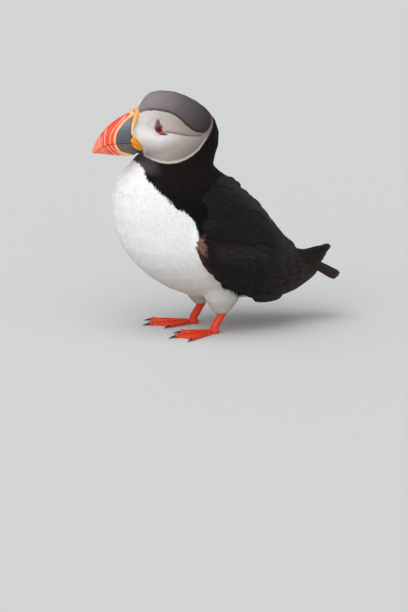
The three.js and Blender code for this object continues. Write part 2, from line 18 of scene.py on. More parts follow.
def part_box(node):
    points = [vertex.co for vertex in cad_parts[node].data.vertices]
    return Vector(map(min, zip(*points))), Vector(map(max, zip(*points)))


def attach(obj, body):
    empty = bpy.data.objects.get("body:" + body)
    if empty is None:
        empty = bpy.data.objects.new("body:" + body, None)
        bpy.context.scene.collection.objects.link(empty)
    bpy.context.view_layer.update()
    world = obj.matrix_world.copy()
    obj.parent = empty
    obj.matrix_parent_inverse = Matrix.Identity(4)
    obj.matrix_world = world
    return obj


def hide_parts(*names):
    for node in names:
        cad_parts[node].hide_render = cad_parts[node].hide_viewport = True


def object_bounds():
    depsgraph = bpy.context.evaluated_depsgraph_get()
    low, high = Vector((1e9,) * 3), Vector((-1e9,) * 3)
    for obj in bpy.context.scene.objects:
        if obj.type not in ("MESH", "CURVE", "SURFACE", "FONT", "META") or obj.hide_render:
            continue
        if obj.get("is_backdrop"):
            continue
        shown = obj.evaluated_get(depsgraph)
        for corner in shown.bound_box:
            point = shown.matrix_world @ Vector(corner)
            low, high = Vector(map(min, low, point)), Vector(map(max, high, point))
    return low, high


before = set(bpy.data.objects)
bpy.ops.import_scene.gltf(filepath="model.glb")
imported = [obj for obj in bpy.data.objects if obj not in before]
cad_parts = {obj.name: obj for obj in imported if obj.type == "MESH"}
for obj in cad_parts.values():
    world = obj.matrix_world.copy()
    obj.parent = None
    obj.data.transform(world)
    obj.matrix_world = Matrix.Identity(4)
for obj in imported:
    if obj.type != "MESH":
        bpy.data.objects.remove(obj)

bl_info = {
    "name": "Atlantic Puffin",
    "version": (1, 0, 0),
    "blender": (4, 5, 0),
    "location": "View3D > Sidebar > Puffin",
    "description": "Builds the skin, plumage, bill, eyes and feet of a life-size standing puffin",
    "category": "Object",
}

MM = 0.001
CAD_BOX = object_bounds()
BILL_REACH = 93.15  # from the middle of the feet forward to the tip of the bill
BACK_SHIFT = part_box("bill_upper")[0].y / MM + BILL_REACH
SIDES = {"left": 1, "right": -1}  # each hand and its side of the middle


# -------------------- the bird's frame


def place(forward, height, left=0.0):
    """A point of the bird from how far forward, how high and how far to the left it is."""
    return np.array([left, -forward, height], float)


LEFT, UP = place(0, 0, 1), place(0, 1)


def side_view(points):
    """How far forward and how high points are."""
    return -points[..., 1], points[..., 2]


def path(points):
    """Points given as (forward, height) or (forward, height, left), as rows of places."""
    return np.array([place(*point) for point in points])


def to_metres(points):
    """From the bird's millimetres to metres in the shared frame; to_bird() turns them back."""
    return (points + np.array([0, BACK_SHIFT, 0])) * MM


def to_bird(points):
    return points / MM - np.array([0, BACK_SHIFT, 0])


def unit(vectors):
    return vectors / np.maximum(np.linalg.norm(vectors, axis=-1, keepdims=True), 1e-9)


def size(vectors):
    """How long each vector is."""
    return np.linalg.norm(vectors, axis=-1)


def ramp(low, high, values):
    """0 up to low and 1 from high, smooth between them; low may be the greater."""
    t = np.clip((values - low) / (high - low), 0, 1)
    return t * t * (3 - 2 * t)


def mix(first, second, share):
    """Between two numbers or rows of them."""
    return first * (1 - share) + second * share


def blend(first, second, share):
    """Between colours, with one share for each row of them."""
    return mix(np.asarray(first), np.asarray(second), np.asarray(share)[..., None])


def bell(distance, width):
    """1 at no distance, falling away on both sides."""
    return np.exp(-((distance / width) ** 2))


def turns(count):
    """Angles that go once round, evenly."""
    return np.linspace(0, 2 * math.pi, count, endpoint=False)


def curve(points, count):
    """A smooth curve through rows of points, evenly stepped by knot."""
    points = np.asarray(points, float)
    spots = np.linspace(0, len(points) - 1, count)
    knot = np.minimum(spots.astype(int), len(points) - 2)
    t = (spots - knot)[:, None]
    p = [points[np.clip(knot + shift, 0, len(points) - 1)] for shift in (-1, 0, 1, 2)]
    bend = 2 * p[0] - 5 * p[1] + 4 * p[2] - p[3]
    twist = 3 * (p[1] - p[2]) + p[3] - p[0]
    return p[1] + 0.5 * t * (p[2] - p[0] + t * (bend + t * twist))


def rgb(red, green, blue):
    """A colour given as eight-bit sRGB, as linear light."""
    value = np.array([red, green, blue], float) / 255
    return np.where(value <= 0.04045, value / 12.92, ((value + 0.055) / 1.055) ** 2.4)


def speckle(points, across, seed=0.0):
    """Smooth noise, about -1 to 1, with features this far across."""
    shift = Vector((seed, 2 * seed, 3 * seed))
    return np.array([noise.noise(Vector(p) / across + shift) for p in points])


# -------------------- settings


def paint(name, description, red, green, blue):
    """A setting for a colour, given as eight-bit sRGB."""
    return bpy.props.FloatVectorProperty(name=name, description=description, subtype="COLOR", size=3,
                                         min=0.0, max=1.0, default=tuple(rgb(red, green, blue)))


def measure(name, description, millimetres):
    """A setting for a length, kept in metres."""
    return bpy.props.FloatProperty(name=name, description=description, unit="LENGTH", min=0.0,
                                   default=millimetres * MM)


def amount(name, description, default):
    """A setting for a plain number."""
    return bpy.props.FloatProperty(name=name, description=description, min=0.0, default=default)


def chosen(group):
    """One group of the settings. Its lengths are in metres."""
    return getattr(bpy.context.scene, "puffin_" + group)


class PlumageSettings(bpy.types.PropertyGroup):
    """Colours of the coat and the size of its feathers"""

    white: paint("White", "Breast and belly", 243, 243, 244)
    # Also used as painted shade that greys the lower belly.
    thigh_grey_and_belly_shade: paint("Thigh white", "Stained white of thighs and vent", 196, 193, 184)
    mantle: paint("Mantle", "Back and rump", 11, 9, 9)
    mantle_rim: paint("Mantle rim", "Worn edges of the shoulder feathers", 36, 28, 28)
    collar: paint("Collar", "Collar and nape", 21, 15, 14)
    chin: paint("Chin", "Grey under the bill", 78, 71, 74)
    cheek_rim: paint("Cheek rim", "Pale line along the cheek's lower edge", 212, 203, 196)
    # Painted shade of the crease behind the eye.
    crease: paint("Crease", "The crease behind the eye", 104, 92, 86)
    crown_dark: paint("Crown edge", "Dark lower edge of the crown", 44, 35, 34)
    feather_size: bpy.props.FloatProperty(name="Feather size", subtype="FACTOR", min=0.5, max=2.0,
                                          description="Size of the small feathers", default=1.0)


class WingSettings(bpy.types.PropertyGroup):
    """Colours of wings and tail, and the tail's size"""

    covert: paint("Covert", "Small wing feathers", 17, 13, 13)
    covert_rim: paint("Covert rim", "Edges of the small wing feathers", 40, 31, 31)
    # A painted sheen: reflected light laid into the colour of the coverts below the fold.
    sheen: paint("Sheen", "Paler band along the fold of the wing", 46, 38, 41)
    wrist: paint("Wrist", "Brown patch at the wing's wrist", 140, 101, 86)
    wrist_dark: paint("Lower wrist", "Brown of the wing's front edge below the wrist", 52, 35, 28)
    flight: paint("Flight feather", "Long feathers of wing and tail", 13, 10, 9)
    flight_rim: paint("Worn edge", "Bleached edges of the long feathers", 66, 46, 37)
    tail_length: measure("Tail", "Length of the middle tail feathers", 50)
    tail_width: measure("Tail feather", "Width of each tail feather", 9)
    primary_width: measure("Primary", "Width of the long wing feathers", 8)
    settle: measure("Settle", "How much lower the right wing's tip lies", 4.5)
    tail_feathers: bpy.props.IntProperty(name="Tail feathers", description="How many feathers the tail has",
                                         min=4, max=24, default=16)


class BillSettings(bpy.types.PropertyGroup):
    """Colours of bill, band and rosette"""

    slate: paint("Slate", "Base plate of the bill", 86, 88, 100)
    slate_pale: paint("Pale slate", "Upper part of the base plate", 120, 126, 144)
    slate_low: paint("Lower slate", "Base plate below the mouth", 100, 90, 84)
    peach: paint("Ridge", "Raised ridge between plate and red", 255, 188, 130)
    peach_deep: paint("Ridge edge", "Rear edge of the ridge", 226, 130, 84)
    flame: paint("Flame", "Red before the ridge", 246, 84, 20)
    scarlet: paint("Scarlet", "Red between the grooves", 244, 62, 34)
    coral: paint("Coral", "Paler red towards the tip", 244, 118, 98)
    groove: paint("Groove", "Pale lines along the grooves", 255, 196, 172)
    tip: paint("Tip", "Tip of the bill", 246, 130, 88)
    band: paint("Band", "Horny band round the bill's root", 240, 206, 126)
    band_top: paint("Band top", "Upper part of the band", 246, 176, 92)
    band_edge: paint("Band edge", "Pores and edges of the band", 196, 134, 74)
    rosette: paint("Rosette", "Skin at the corner of the mouth", 255, 166, 14)
    # Painted shade in the depths of the rosette's folds.
    rosette_fold_shade: paint("Rosette folds", "Depths of the rosette's folds", 222, 104, 10)


class EyeSettings(bpy.types.PropertyGroup):
    """Colours and sizes of the eye and its plates"""

    lid_red: paint("Lid", "Fleshy ring round the eye", 206, 50, 32)
    # Painted shade on the ring's flanks, deepest on the inner edge against the eyeball.
    lid_shade: paint("Lid edge", "Inner edge of the ring", 64, 24, 24)
    plate_slate: paint("Upper plate", "Horny plate above the eye", 98, 94, 104)
    plate_dark: paint("Lower plate", "Horny plate below the eye", 46, 38, 44)
    radius: measure("Eyeball", "Radius of the eyeball", 3.8)
    pupil: measure("Pupil", "Radius of the pupil", 1.3)
    iris: measure("Iris", "Radius of the iris", 2.1)


class LegSettings(bpy.types.PropertyGroup):
    """Colours of legs and claws, and the sizes of the scutes"""

    orange: paint("Leg", "Shanks and toes", 236, 62, 14)
    web: paint("Web", "Skin between the toes", 242, 86, 26)
    # Used as painted shade in the web's pleats and on the rear of the shank, and as a darker tone on the
    # scutes.
    deep: paint("Deep", "Folds and the rear of the leg", 180, 34, 10)
    claw: paint("Claw", "Claws", 24, 18, 17)
    scute_spacing: measure("Scute spacing", "From one scute to the next", 1.3)
    scute_length: measure("Scute length", "Length of a scute along its row", 2)
    scute_width: measure("Scute width", "Width of a scute across its row", 3.3)
    scute_height: measure("Scute height", "Thickness of a scute", 0.62)


class StageSettings(bpy.types.PropertyGroup):
    """Floor, lamps and lens"""

    floor: paint("Floor", "Floor and background", 210, 209, 207)
    floor_radius: measure("Floor size", "Radius of the floor", 40000)
    sky_light: amount("Sky lamp", "Strength of the high lamp", 1.6)
    front_light: amount("Front lamp", "Strength of the lamp in front", 0.75)
    world_light: amount("World", "Strength of the light from all round", 0.55)
    lens: amount("Lens", "Focal length in millimetres", 941.0)


SETTINGS = {"plumage": PlumageSettings, "wing": WingSettings, "bill": BillSettings, "eye": EyeSettings,
            "leg": LegSettings, "stage": StageSettings}


# -------------------- meshes from arrays


def add_object(name, data):
    """A new object in the scene."""
    made = bpy.data.objects.new(name, data)
    bpy.context.scene.collection.objects.link(made)
    return made


def build(name, points, faces, material, tint=None, maps=None, normals=None):
    """A mesh object from the bird's points and faces with equally many corners."""
    mesh = bpy.data.meshes.new(name)
    count, corners = faces.shape
    mesh.vertices.add(len(points))
    mesh.vertices.foreach_set("co", to_metres(points).astype(np.float32).ravel())
    mesh.loops.add(count * corners)
    mesh.loops.foreach_set("vertex_index", faces.astype(np.int32).ravel())
    mesh.polygons.add(count)
    mesh.polygons.foreach_set("loop_start", np.arange(count, dtype=np.int32) * corners)
    mesh.polygons.foreach_set("use_smooth", np.ones(count, bool))
    mesh.update(calc_edges=True)
    if tint is not None:
        colours = np.ones((len(points), 4), np.float32)
        colours[:, :3] = tint
        mesh.attributes.new("Tint", "FLOAT_COLOR", "POINT").data.foreach_set("color", colours.ravel())
    for map_name, values in (maps or {}).items():
        layer = mesh.uv_layers.new(name=map_name)
        layer.data.foreach_set("uv", values[faces.ravel()].astype(np.float32).ravel())
    if normals is not None:
        mesh.normals_split_custom_set(normals.tolist())
    mesh.materials.append(material)
    return add_object(name, mesh)


def finish_piece(piece, slot, *nodes):
    """Every piece rides on the one body and stands for its solids."""
    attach(piece, "root")
    if nodes:
        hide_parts(*nodes)


def add_piece(name, points, faces, material, tint, slot, *nodes):
    """A painted mesh as a piece of the bird."""
    finish_piece(build(name, points, faces, material, tint), slot, *nodes)


def joined(forms):
    """Several point and face arrays as one."""
    points, faces, shift = [], [], 0
    for some, corners in forms:
        points.append(some)
        faces.append(corners + shift)
        shift += len(some)
    return np.concatenate(points), np.concatenate(faces)


def arrays(mesh):
    """A mesh's points in the bird's frame, and its faces as triangles."""
    points = np.empty(len(mesh.vertices) * 3, np.float32)
    mesh.vertices.foreach_get("co", points)
    mesh.calc_loop_triangles()
    corners = np.empty(len(mesh.loop_triangles) * 3, np.int32)
    mesh.loop_triangles.foreach_get("vertices", corners)
    return to_bird(points.reshape(-1, 3).astype(float)), corners.reshape(-1, 3)


def vertex_normals(points, corners):
    """Smooth normals at the points of a triangle mesh."""
    a, b, c = (points[corners[:, k]] for k in range(3))
    face = np.cross(b - a, c - a)
    total = np.zeros_like(points)
    for k in range(3):
        for axis in range(3):
            total[:, axis] += np.bincount(corners[:, k], face[:, axis], len(points))
    return unit(total)


PULL, PUSH = 0.5, 0.53  # how far smoothing moves points towards their neighbours, and back again


def relax(points, corners, rounds):
    """Smooths away facets, with a push back after each round against shrinking."""
    edges = np.concatenate([corners[:, [0, 1]], corners[:, [1, 2]], corners[:, [2, 0]]])
    start, end = np.concatenate([edges, edges[:, ::-1]]).T
    degree = np.maximum(np.bincount(start, minlength=len(points)), 1)[:, None]
    for step in range(rounds):
        factor = PULL if step % 2 == 0 else -PUSH
        mean = np.stack([np.bincount(start, points[end, k], len(points)) for k in range(3)], 1) / degree
        points = points + factor * (mean - points)
    return points


def remeshed(nodes, voxel, rounds, swell=0.0, forms=()):
    """The solids of these nodes, and any further forms, as one smooth surface."""
    merged = bmesh.new()
    for node in nodes:
        merged.from_mesh(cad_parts[node].data)
    for points, faces in forms:
        mesh = bpy.data.meshes.new("form")
        mesh.from_pydata(to_metres(points).tolist(), [], faces.tolist())
        merged.from_mesh(mesh)
        bpy.data.meshes.remove(mesh)
    bmesh.ops.remove_doubles(merged, verts=merged.verts, dist=1e-6)
    merged.normal_update()
    for vertex in merged.verts:
        vertex.co += vertex.normal * swell * MM
    mesh = bpy.data.meshes.new("form")
    merged.to_mesh(mesh)
    merged.free()
    form = add_object("form", mesh)
    remesh = form.modifiers.new("Voxels", "REMESH")
    remesh.mode = "VOXEL"
    remesh.voxel_size = voxel * MM
    evaluated = form.evaluated_get(bpy.context.evaluated_depsgraph_get())
    points, corners = arrays(evaluated.to_mesh())
    evaluated.to_mesh_clear()
    bpy.data.objects.remove(form)
    bpy.data.meshes.remove(mesh)
    return relax(points, corners, rounds), corners


TRIES = 6  # how many roots are drawn for each one that is kept


class Surface:
    """Triangles that can be asked what is nearest or lies along a ray."""

    def __init__(self, points, corners):
        self.points, self.corners = points, corners
        self.tree = BVHTree.FromPolygons(points.tolist(), corners.tolist())
        at_points = vertex_normals(points, corners)
        self.normals = unit(at_points[corners].mean(1))

    def nearest(self, points):
        """The nearest places on the surface and the smoothed normals there."""
        hits = [self.tree.find_nearest(p) for p in points.tolist()]
        index = np.array([hit[2] for hit in hits])
        return np.array([hit[0] for hit in hits]), self.normals[index]

    def distance(self, points, reach):
        hits = [self.tree.find_nearest(p, reach) for p in points.tolist()]
        return np.array([reach if hit[3] is None else hit[3] for hit in hits])

    def covers(self, points, directions, reach):
        """Whether each point sees this surface in its direction, within reach."""
        pairs = zip(points.tolist(), directions.tolist())
        return np.array([self.tree.ray_cast(p, d, reach)[0] is not None for p, d in pairs])

    def seen_from(self, starts, direction):
        """Where rays land, and which of them miss and stay at their start."""
        hits = [self.tree.ray_cast(p, direction) for p in starts.tolist()]
        missed = np.array([hit[0] is None for hit in hits])
        index = np.array([hit[2] or 0 for hit in hits])
        places = np.array([start if hit[0] is None else hit[0] for start, hit in zip(starts.tolist(), hits)])
        return places, self.normals[index], missed

    def scatter(self, spacing, rng, keep):
        """Roots over the kept triangles, at most one in each cell of the spacing."""
        a, b, c = (self.points[self.corners[:, k]] for k in range(3))
        allowed = np.flatnonzero(keep)
        area = size(np.cross(b - a, c - a))[allowed] / 2
        count = int(area.sum() / spacing**2 * TRIES)
        index = allowed[rng.choice(len(allowed), count, p=area / area.sum())]
        s, t = rng.random((2, count, 1))
        s, t = np.where(s + t > 1, 1 - s, s), np.where(s + t > 1, 1 - t, t)
        roots = a[index] + s * (b - a)[index] + t * (c - a)[index]
        for offset in (0.0, 0.5):
            cells = np.floor(roots / spacing + offset).astype(np.int64)
            first = np.unique(cells, axis=0, return_index=True)[1]
            roots, index = roots[first], index[first]
        return roots, self.normals[index]


# -------------------- feathers


class Shape:
    """How a feather is drawn: stations from root to tip, and the section round each of them.

    Along and across say where each vertex lies on the vane, and under marks the faces of its underside.
    """

    def __init__(self, stations, widths, section):
        self.stations = np.array(stations, float)
        self.widths = np.array(widths, float)
        self.section = np.array(section, float)
        self.faces = self.triangles()
        raised, faces_a_strip = self.section[:, 1], 2 * len(self.stations) - 4
        self.under = np.repeat(raised + np.roll(raised, -1) <= 0, faces_a_strip)
        inner, around = self.stations[1:-1], len(self.section)
        self.along = np.concatenate([[0], np.repeat(inner, around), [1]])
        self.across = np.concatenate([[0], np.tile(self.section[:, 0], len(inner)), [0]])

    def triangles(self):
        """One feather's faces, with a point at root and tip and rings between them."""
        rings, around = len(self.stations) - 2, len(self.section)
        faces = []
        for j in range(around):
            following = (j + 1) % around
            faces.append([0, 1 + j, 1 + following])
            for ring in range(rings - 1):
                low, high = 1 + ring * around, 1 + (ring + 1) * around
                faces.append([low + j, high + j, high + following])
                faces.append([low + j, high + following, low + following])
            last = 1 + (rings - 1) * around
            faces.append([last + j, 1 + rings * around, last + following])
        return np.array(faces)


def rounded(stations, shoulder, power):
    """Widths that rise quickly and close in a round tip past the shoulder."""
    stations = np.asarray(stations, float)
    rise = np.minimum(1, stations / 0.22) ** 0.7
    past = np.clip((stations - shoulder) / (1 - shoulder), 0, 1)
    return rise * (1 - past**power) ** (1 / power)


TENT = [(-1, 0), (0, 1), (1, 0)]
RIDGED = [(-1, 0), (-0.5, 0.55), (0, 1), (0.5, 0.55), (1, 0), (0, -0.4)]
TUFT = Shape([0, 0.35, 0.78, 1], [0, 1, 0.66, 0], TENT)
CONTOUR_STATIONS = [0, 0.15, 0.4, 0.65, 0.83, 0.94, 1]
CONTOUR = Shape(CONTOUR_STATIONS, rounded(CONTOUR_STATIONS, 0.45, 2.0), RIDGED)
LONG_STATIONS = np.linspace(0, 1, 19) ** 0.85
QUILL = Shape(LONG_STATIONS, rounded(LONG_STATIONS, 0.78, 2.2), RIDGED)
PATCH = 0.003  # how large each feather is on the coat's own unwrap


def feather_points(shape, centres, normals, lengthwise, width, lift, thickness, roll=0.0, bend=0.0):
    """The vertices of many feathers from their middle lines, [feather, station, 3].

    Roll raises one edge, and bend, the half of one over a radius, lowers both as on a rounded form.
    """
    across = unit(np.cross(normals, lengthwise))
    lifted = centres + normals * lift[:, :, None]
    inner = slice(1, -1)
    half = (width[:, None] / 2 * shape.widths)[:, inner, None, None]
    side, raised = shape.section[:, 0][:, None], shape.section[:, 1][:, None]
    rings = lifted[:, inner, None] + across[:, inner, None] * half * side
    fade = np.minimum(1, shape.widths[inner] * 2)[None, :, None, None]
    out = raised * thickness * fade + roll * side * half - bend * (side * half) ** 2
    rings = rings + normals[:, inner, None] * out
    flat = rings.reshape(len(centres), -1, 3)
    return np.concatenate([lifted[:, :1], flat, lifted[:, -1:]], 1)


def on_vertices(shape, values):
    """Values at stations, [feather, station, ...], handed on to the vertices."""
    around = len(shape.section)
    return np.concatenate([values[:, :1], np.repeat(values[:, 1:-1], around, axis=1), values[:, -1:]], 1)


def feather_coat(name, shape, points, tints, roots_on_map, facing, softness):
    """Joins many feathers, [feather, vertex, 3], to one piece with its tint and maps.

    Softness is how far each feather is shaded like the body under it, so that a coat of many looks downy.
    """
    count, each = points.shape[:2]
    faces = shape.faces[None] + (np.arange(count) * each)[:, None, None]
    a, b, c = (points[0][shape.faces[:, k]] for k in range(3))
    middle = points[0].mean(0)
    if np.einsum("ij,ij->i", a - middle, np.cross(b - middle, c - middle)).sum() < 0:
        faces = faces[:, :, ::-1]
    faces = faces.reshape(-1, 3)
    vane = np.stack([shape.across / 2 + 0.5, shape.along], 1)
    maps = {"Vane": np.tile(vane, (count, 1))}
    if roots_on_map is not None:
        maps["OFBake"] = (roots_on_map[:, None] + PATCH * (vane - 0.5)[None]).reshape(-1, 2)
    flat = points.reshape(-1, 3)
    own, body = vertex_normals(flat, faces), on_vertices(shape, facing).reshape(-1, 3)
    normals = unit(own + (body - own) * softness)[faces]
    a, b, c = (flat[faces[:, k]] for k in range(3))
    under = np.tile(shape.under, count)
    normals[under] = unit(np.cross(b - a, c - a))[under][:, None]
    finish = {TUFT: plumage_finish, CONTOUR: contour_finish, QUILL: quill_finish}[shape]()
    return build(name, flat, faces, finish, tints.reshape(-1, 3), maps, normals.reshape(-1, 3))


def follow(surface, roots, directions, lengths, stations):
    """Middle lines over a surface: centres, normals, directions by feather and station."""
    places, facing = surface.nearest(roots)
    ahead = unit(directions - facing * np.sum(directions * facing, 1, keepdims=True))
    rows = [(places, facing, ahead)]
    for step in np.diff(stations):
        places, facing = surface.nearest(places + ahead * (step * lengths)[:, None])
        ahead = unit(ahead - facing * np.sum(ahead * facing, 1, keepdims=True))
        rows.append((places, facing, ahead))
    return tuple(np.stack(part, 1) for part in zip(*rows))


# -------------------- lie of the coat

SPINE = path([(66, 156), (52, 158), (38, 160), (27, 156), (21, 143), (20, 126), (18, 104), (6, 82), (-20, 64),
              (-55, 49), (-92, 39)])
THIGH_LINES = [path([(-3, 46, 20 * side), (-4, 32, 20 * side), (-4, 12, 20 * side)]) for side in (1, -1)]
SPINE_STEPS = 140
THIGH_HANDICAP = 11.0
FLOW_REACH = 9.0  # how far round a feather the body's lines turn it


@lru_cache
def flow_lines():
    """Places and directions along the body and down each thigh, which counts as further."""
    lines = [curve(SPINE, SPINE_STEPS)] + [curve(line, 30) for line in THIGH_LINES]
    places = np.concatenate(lines)
    directions = np.concatenate([unit(np.gradient(line, axis=0)) for line in lines])
    handicap = np.where(np.arange(len(places)) < SPINE_STEPS, 0.0, THIGH_HANDICAP)
    in_head = (places[:, 2] > 145) & (-places[:, 1] > 22)
    return places, directions, handicap, in_head


def lie(points, normals):
    """The way that feathers lie at each point: from the bill to the tail, and down the thighs."""
    places, directions, handicap, in_head = flow_lines()
    found = []
    for some in np.array_split(points, max(1, len(points) // 20000)):
        below_head = 60 * ramp(139, 131, some[:, 2])
        away = size(some[:, None] - places[None]) + handicap + below_head[:, None] * in_head
        weight = np.exp(-(away**2 - away.min(1, keepdims=True) ** 2) / (2 * FLOW_REACH**2))
        found.append(weight @ directions / weight.sum(1, keepdims=True))
    raw = np.concatenate(found)
    return unit(raw - normals * np.sum(raw * normals, 1, keepdims=True))


# -------------------- markings, with painted light and shade on head and belly

CROWN_EDGE = [(60.5, 166), (58.6, 168.2), (56, 169.9), (53.4, 171.3), (48.1, 172.5), (43.7, 171.9),
              (38, 170.6), (33.3, 168.1), (29.9, 164.9), (26.4, 161.3), (22.5, 157.9), (18.4, 155.3),
              (12.3, 153.8), (8.6, 154.7), (5.1, 157.3), (2.2, 160.4), (0.8, 164)]
FACE_EDGE = [(-1.2, 164), (0, 160.6), (2.3, 157), (5.2, 153.4), (8.6, 150.2), (12.4, 146.6), (17, 142),
             (22.8, 138.3), (28.6, 135.6), (34.8, 133.9), (41, 133.2), (46, 133.5), (49.8, 134.7),
             (52.2, 136.4), (54.2, 139.6), (55.5, 142.4), (56.8, 146)]
CREASE = [(42, 157), (36, 156), (28, 153.9), (20, 152.7), (14, 152.4)]
WEDGE_FORWARDS = [30, 34, 38, 41, 44, 47, 50, 54, 57, 60]
WEDGE_LEFT = [99, 99, 30, 20, 16, 13.5, 11.5, 8, 4.8, 1.8]
# The right side is narrower than the left: the pale line it leaves on the forehead is a painted highlight
# along the outline.
WEDGE_RIGHT = [40, 25, 14.5, 9.5, 5.6, 2.8, 0.9, -0.3, -0.8, -0.8]  # leaves a pale line on the forehead
BREAST_HEIGHTS = [97, 100.4, 105, 110.7, 114.7, 118.2, 121.4, 123.6, 126, 130.5, 132.7, 133.6]
BREAST_WIDTHS = [45.5, 42, 38.7, 36.1, 32.6, 29, 24.3, 20.7, 17.1, 9.7, 3.1, 0]
FLANK_HEIGHTS = [20, 26.8, 29.2, 39, 47.4, 61.6, 76.5, 88, 95.7, 99.6]
FLANK_FORWARDS = [-80, -44, -15.5, 0.8, 9.7, 23.6, 27.7, 27.4, 30.3, 33.9]
THROAT_WHITE = 132.4  # height at which the white of the breast ends
OUTSIDE = 9  # a distance that is well outside any marking

# Cheek tones from dark to pale; the darker ones carry painted shade.
CHEEK_TONES_AND_SHADE = np.array([rgb(118, 102, 93), rgb(158, 144, 136), rgb(198, 187, 182), rgb(238, 234, 233)])
CROWN_TONES = np.array([rgb(54, 46, 46), rgb(104, 95, 97), rgb(160, 150, 154)])


def toned(tones, share):
    """Colours taken from a row of tones by a share from 0 to 1."""
    steps = np.linspace(0, 1, len(tones))
    return np.stack([np.interp(share, steps, tones[:, k]) for k in range(3)], 1)


def outline_distance(points, outline, closed=True):
    """Distance in the side view to an outline, negative inside a closed one."""
    spots = np.stack(side_view(points), 1)
    ring = np.array(outline + outline[:1] if closed else outline, float)
    nearest = np.full(len(spots), 1e9)
    inside = np.zeros(len(spots), bool)
    for start, end in zip(ring[:-1], ring[1:]):
        span = end - start
        t = np.clip((spots - start) @ span / (span @ span), 0, 1)
        nearest = np.minimum(nearest, size(spots - start - t[:, None] * span))
        crosses = (start[1] > spots[:, 1]) != (end[1] > spots[:, 1])
        rise = span[1] if span[1] else 1e-9
        inside ^= crosses & (spots[:, 0] < start[0] + (spots[:, 1] - start[1]) * span[0] / rise)
    return np.where(inside, -nearest, nearest) if closed else nearest


def cap_outline(points):
    """Negative inside the cap's outline in the side view."""
    return outline_distance(points, CROWN_EDGE + [(-6, 164), (-30, 164), (-30, 210), (80, 210), (80, 166)])


def crown_distance(points):
    """Negative inside the dark cap, which narrows to a wedge over the forehead; it is narrower on the right,
    so a pale line shows there as a painted highlight.
    """
    forward, left = -points[:, 1], points[:, 0]
    left_half = np.interp(forward, WEDGE_FORWARDS, WEDGE_LEFT)
    right_half = np.interp(forward, WEDGE_FORWARDS, WEDGE_RIGHT)
    from_wedge = np.maximum(left - left_half, -left - right_half)
    return np.maximum(cap_outline(points), from_wedge)


def cheek_distance(points):
    """Negative on the pale sides of the head, which reach up under the cap."""
    cheek = FACE_EDGE + [(80, 146.5), (80, 210), (-1.2, 210)]
    return np.where(points[:, 2] > 130, outline_distance(points, cheek), OUTSIDE)


def white_distance(points):
    """Negative on the white breast, belly and flanks."""
    forward, height = side_view(points)
    out = np.maximum(points[:, 0], -points[:, 0] - 4 * ramp(124, 131, height))
    from_collar = out - np.interp(height, BREAST_HEIGHTS, BREAST_WIDTHS)
    from_collar = np.where(height > THROAT_WHITE, OUTSIDE, from_collar)
    from_collar = np.maximum(from_collar, np.interp(height, [97, 106, 116], [33, 29, 20]) - forward)
    from_flank = np.interp(height, FLANK_HEIGHTS, FLANK_FORWARDS) - forward
    return mix(from_flank, from_collar, ramp(98, 103, height))


def cheek_look(points):
    """The cheek's tone: palest before the eye, greyed by painted shade behind it and down to the throat, and
    brightest just under the crease as a painted highlight on the swollen cheek.
    """
    look = chosen("plumage")
    forward, height = side_view(points)
    behind = np.clip(45 - forward, 0, 40)
    # Painted shade: the cheek darkens downwards and behind the eye, and is lightest just under the crease as
    # a painted highlight.
    below = 238 - 4.4 * np.clip(153 - height, 0, 20) - 2.3 * behind
    above = np.interp(forward, [0, 30, 56], [132, 168, 216]) + 24 * ramp(170, 176, height)
    line = np.interp(forward, [14, 20, 28, 36, 42, 60], [152.4, 152.7, 153.9, 156, 157, 160])
    soft, sharp = ramp(-3, 3, height - line), ramp(-0.5, 0.9, height - line)
    over = mix(soft, sharp, ramp(46, 38, forward))
    level = mix(below, above, over)
    face = toned(CHEEK_TONES_AND_SHADE, (level - 118) / 120)
    # Painted shade along the crease behind the eye, on top of its real fold.
    crease = outline_distance(points, CREASE, closed=False)
    face = blend(face, look.crease, 0.75 * bell(crease, 0.5) + 0.22 * bell(crease, 1.5))
    rim = 0.85 * ramp(-1.7, -0.9, cheek_distance(points)) * ramp(153, 147, height)
    return blend(face, look.cheek_rim, rim)


def crown_look(points):
    """The crown's tone: grey in front, darker down the nape and at its lower edge."""
    forward, height = side_view(points)
    cap = toned(CROWN_TONES, (5 + 1.0 * forward + 1.5 * (height - 164)) / 92)
    edge = 0.8 * ramp(-2.6, -0.2, cap_outline(points)) * ramp(60, 50, forward)
    cap = blend(cap, chosen("plumage").crown_dark, edge)
    return cap * (1 + 0.05 * speckle(points * [1.6, 0.5, 1.6], 2.5, 5.0))[:, None]


def plumage(points):
    """The coat's colour at each point, with slightly ragged edges between colours; on the face and belly it
    carries painted shade and highlights.
    """
    look = chosen("plumage")
    wobble = speckle(points, 3.0) * 0.8 + speckle(points, 9.0, 4.0) * 0.9
    forward, height = side_view(points)
    tone = blend(look.mantle, look.collar, ramp(104, 122, height))
    tone = blend(tone, look.chin, ramp(45, 53, forward) * ramp(125, 131, height))
    tone = tone * (1 + 0.25 * speckle(points, 7.0, 6.0))[:, None]
    thigh = ramp(34, 27, height)
    # Grey thighs, and painted shade greying the white downwards over the lower belly.
    white = blend(look.white, look.thigh_grey_and_belly_shade, np.maximum(thigh, 0.75 * ramp(80, 36, height)))
    white = white * (1 + 0.025 * speckle(points, 14.0, 8.0))[:, None]
    tone = blend(tone, white, ramp(0.5, -0.5, white_distance(points) + wobble))
    crown = np.where(height > 150, crown_distance(points), OUTSIDE)
    tone = blend(tone, cheek_look(points), ramp(0.25, -0.25, cheek_distance(points) + 0.1 * wobble))
    return blend(tone, crown_look(points), ramp(0.3, -0.3, crown + 0.15 * wobble))


# -------------------- materials


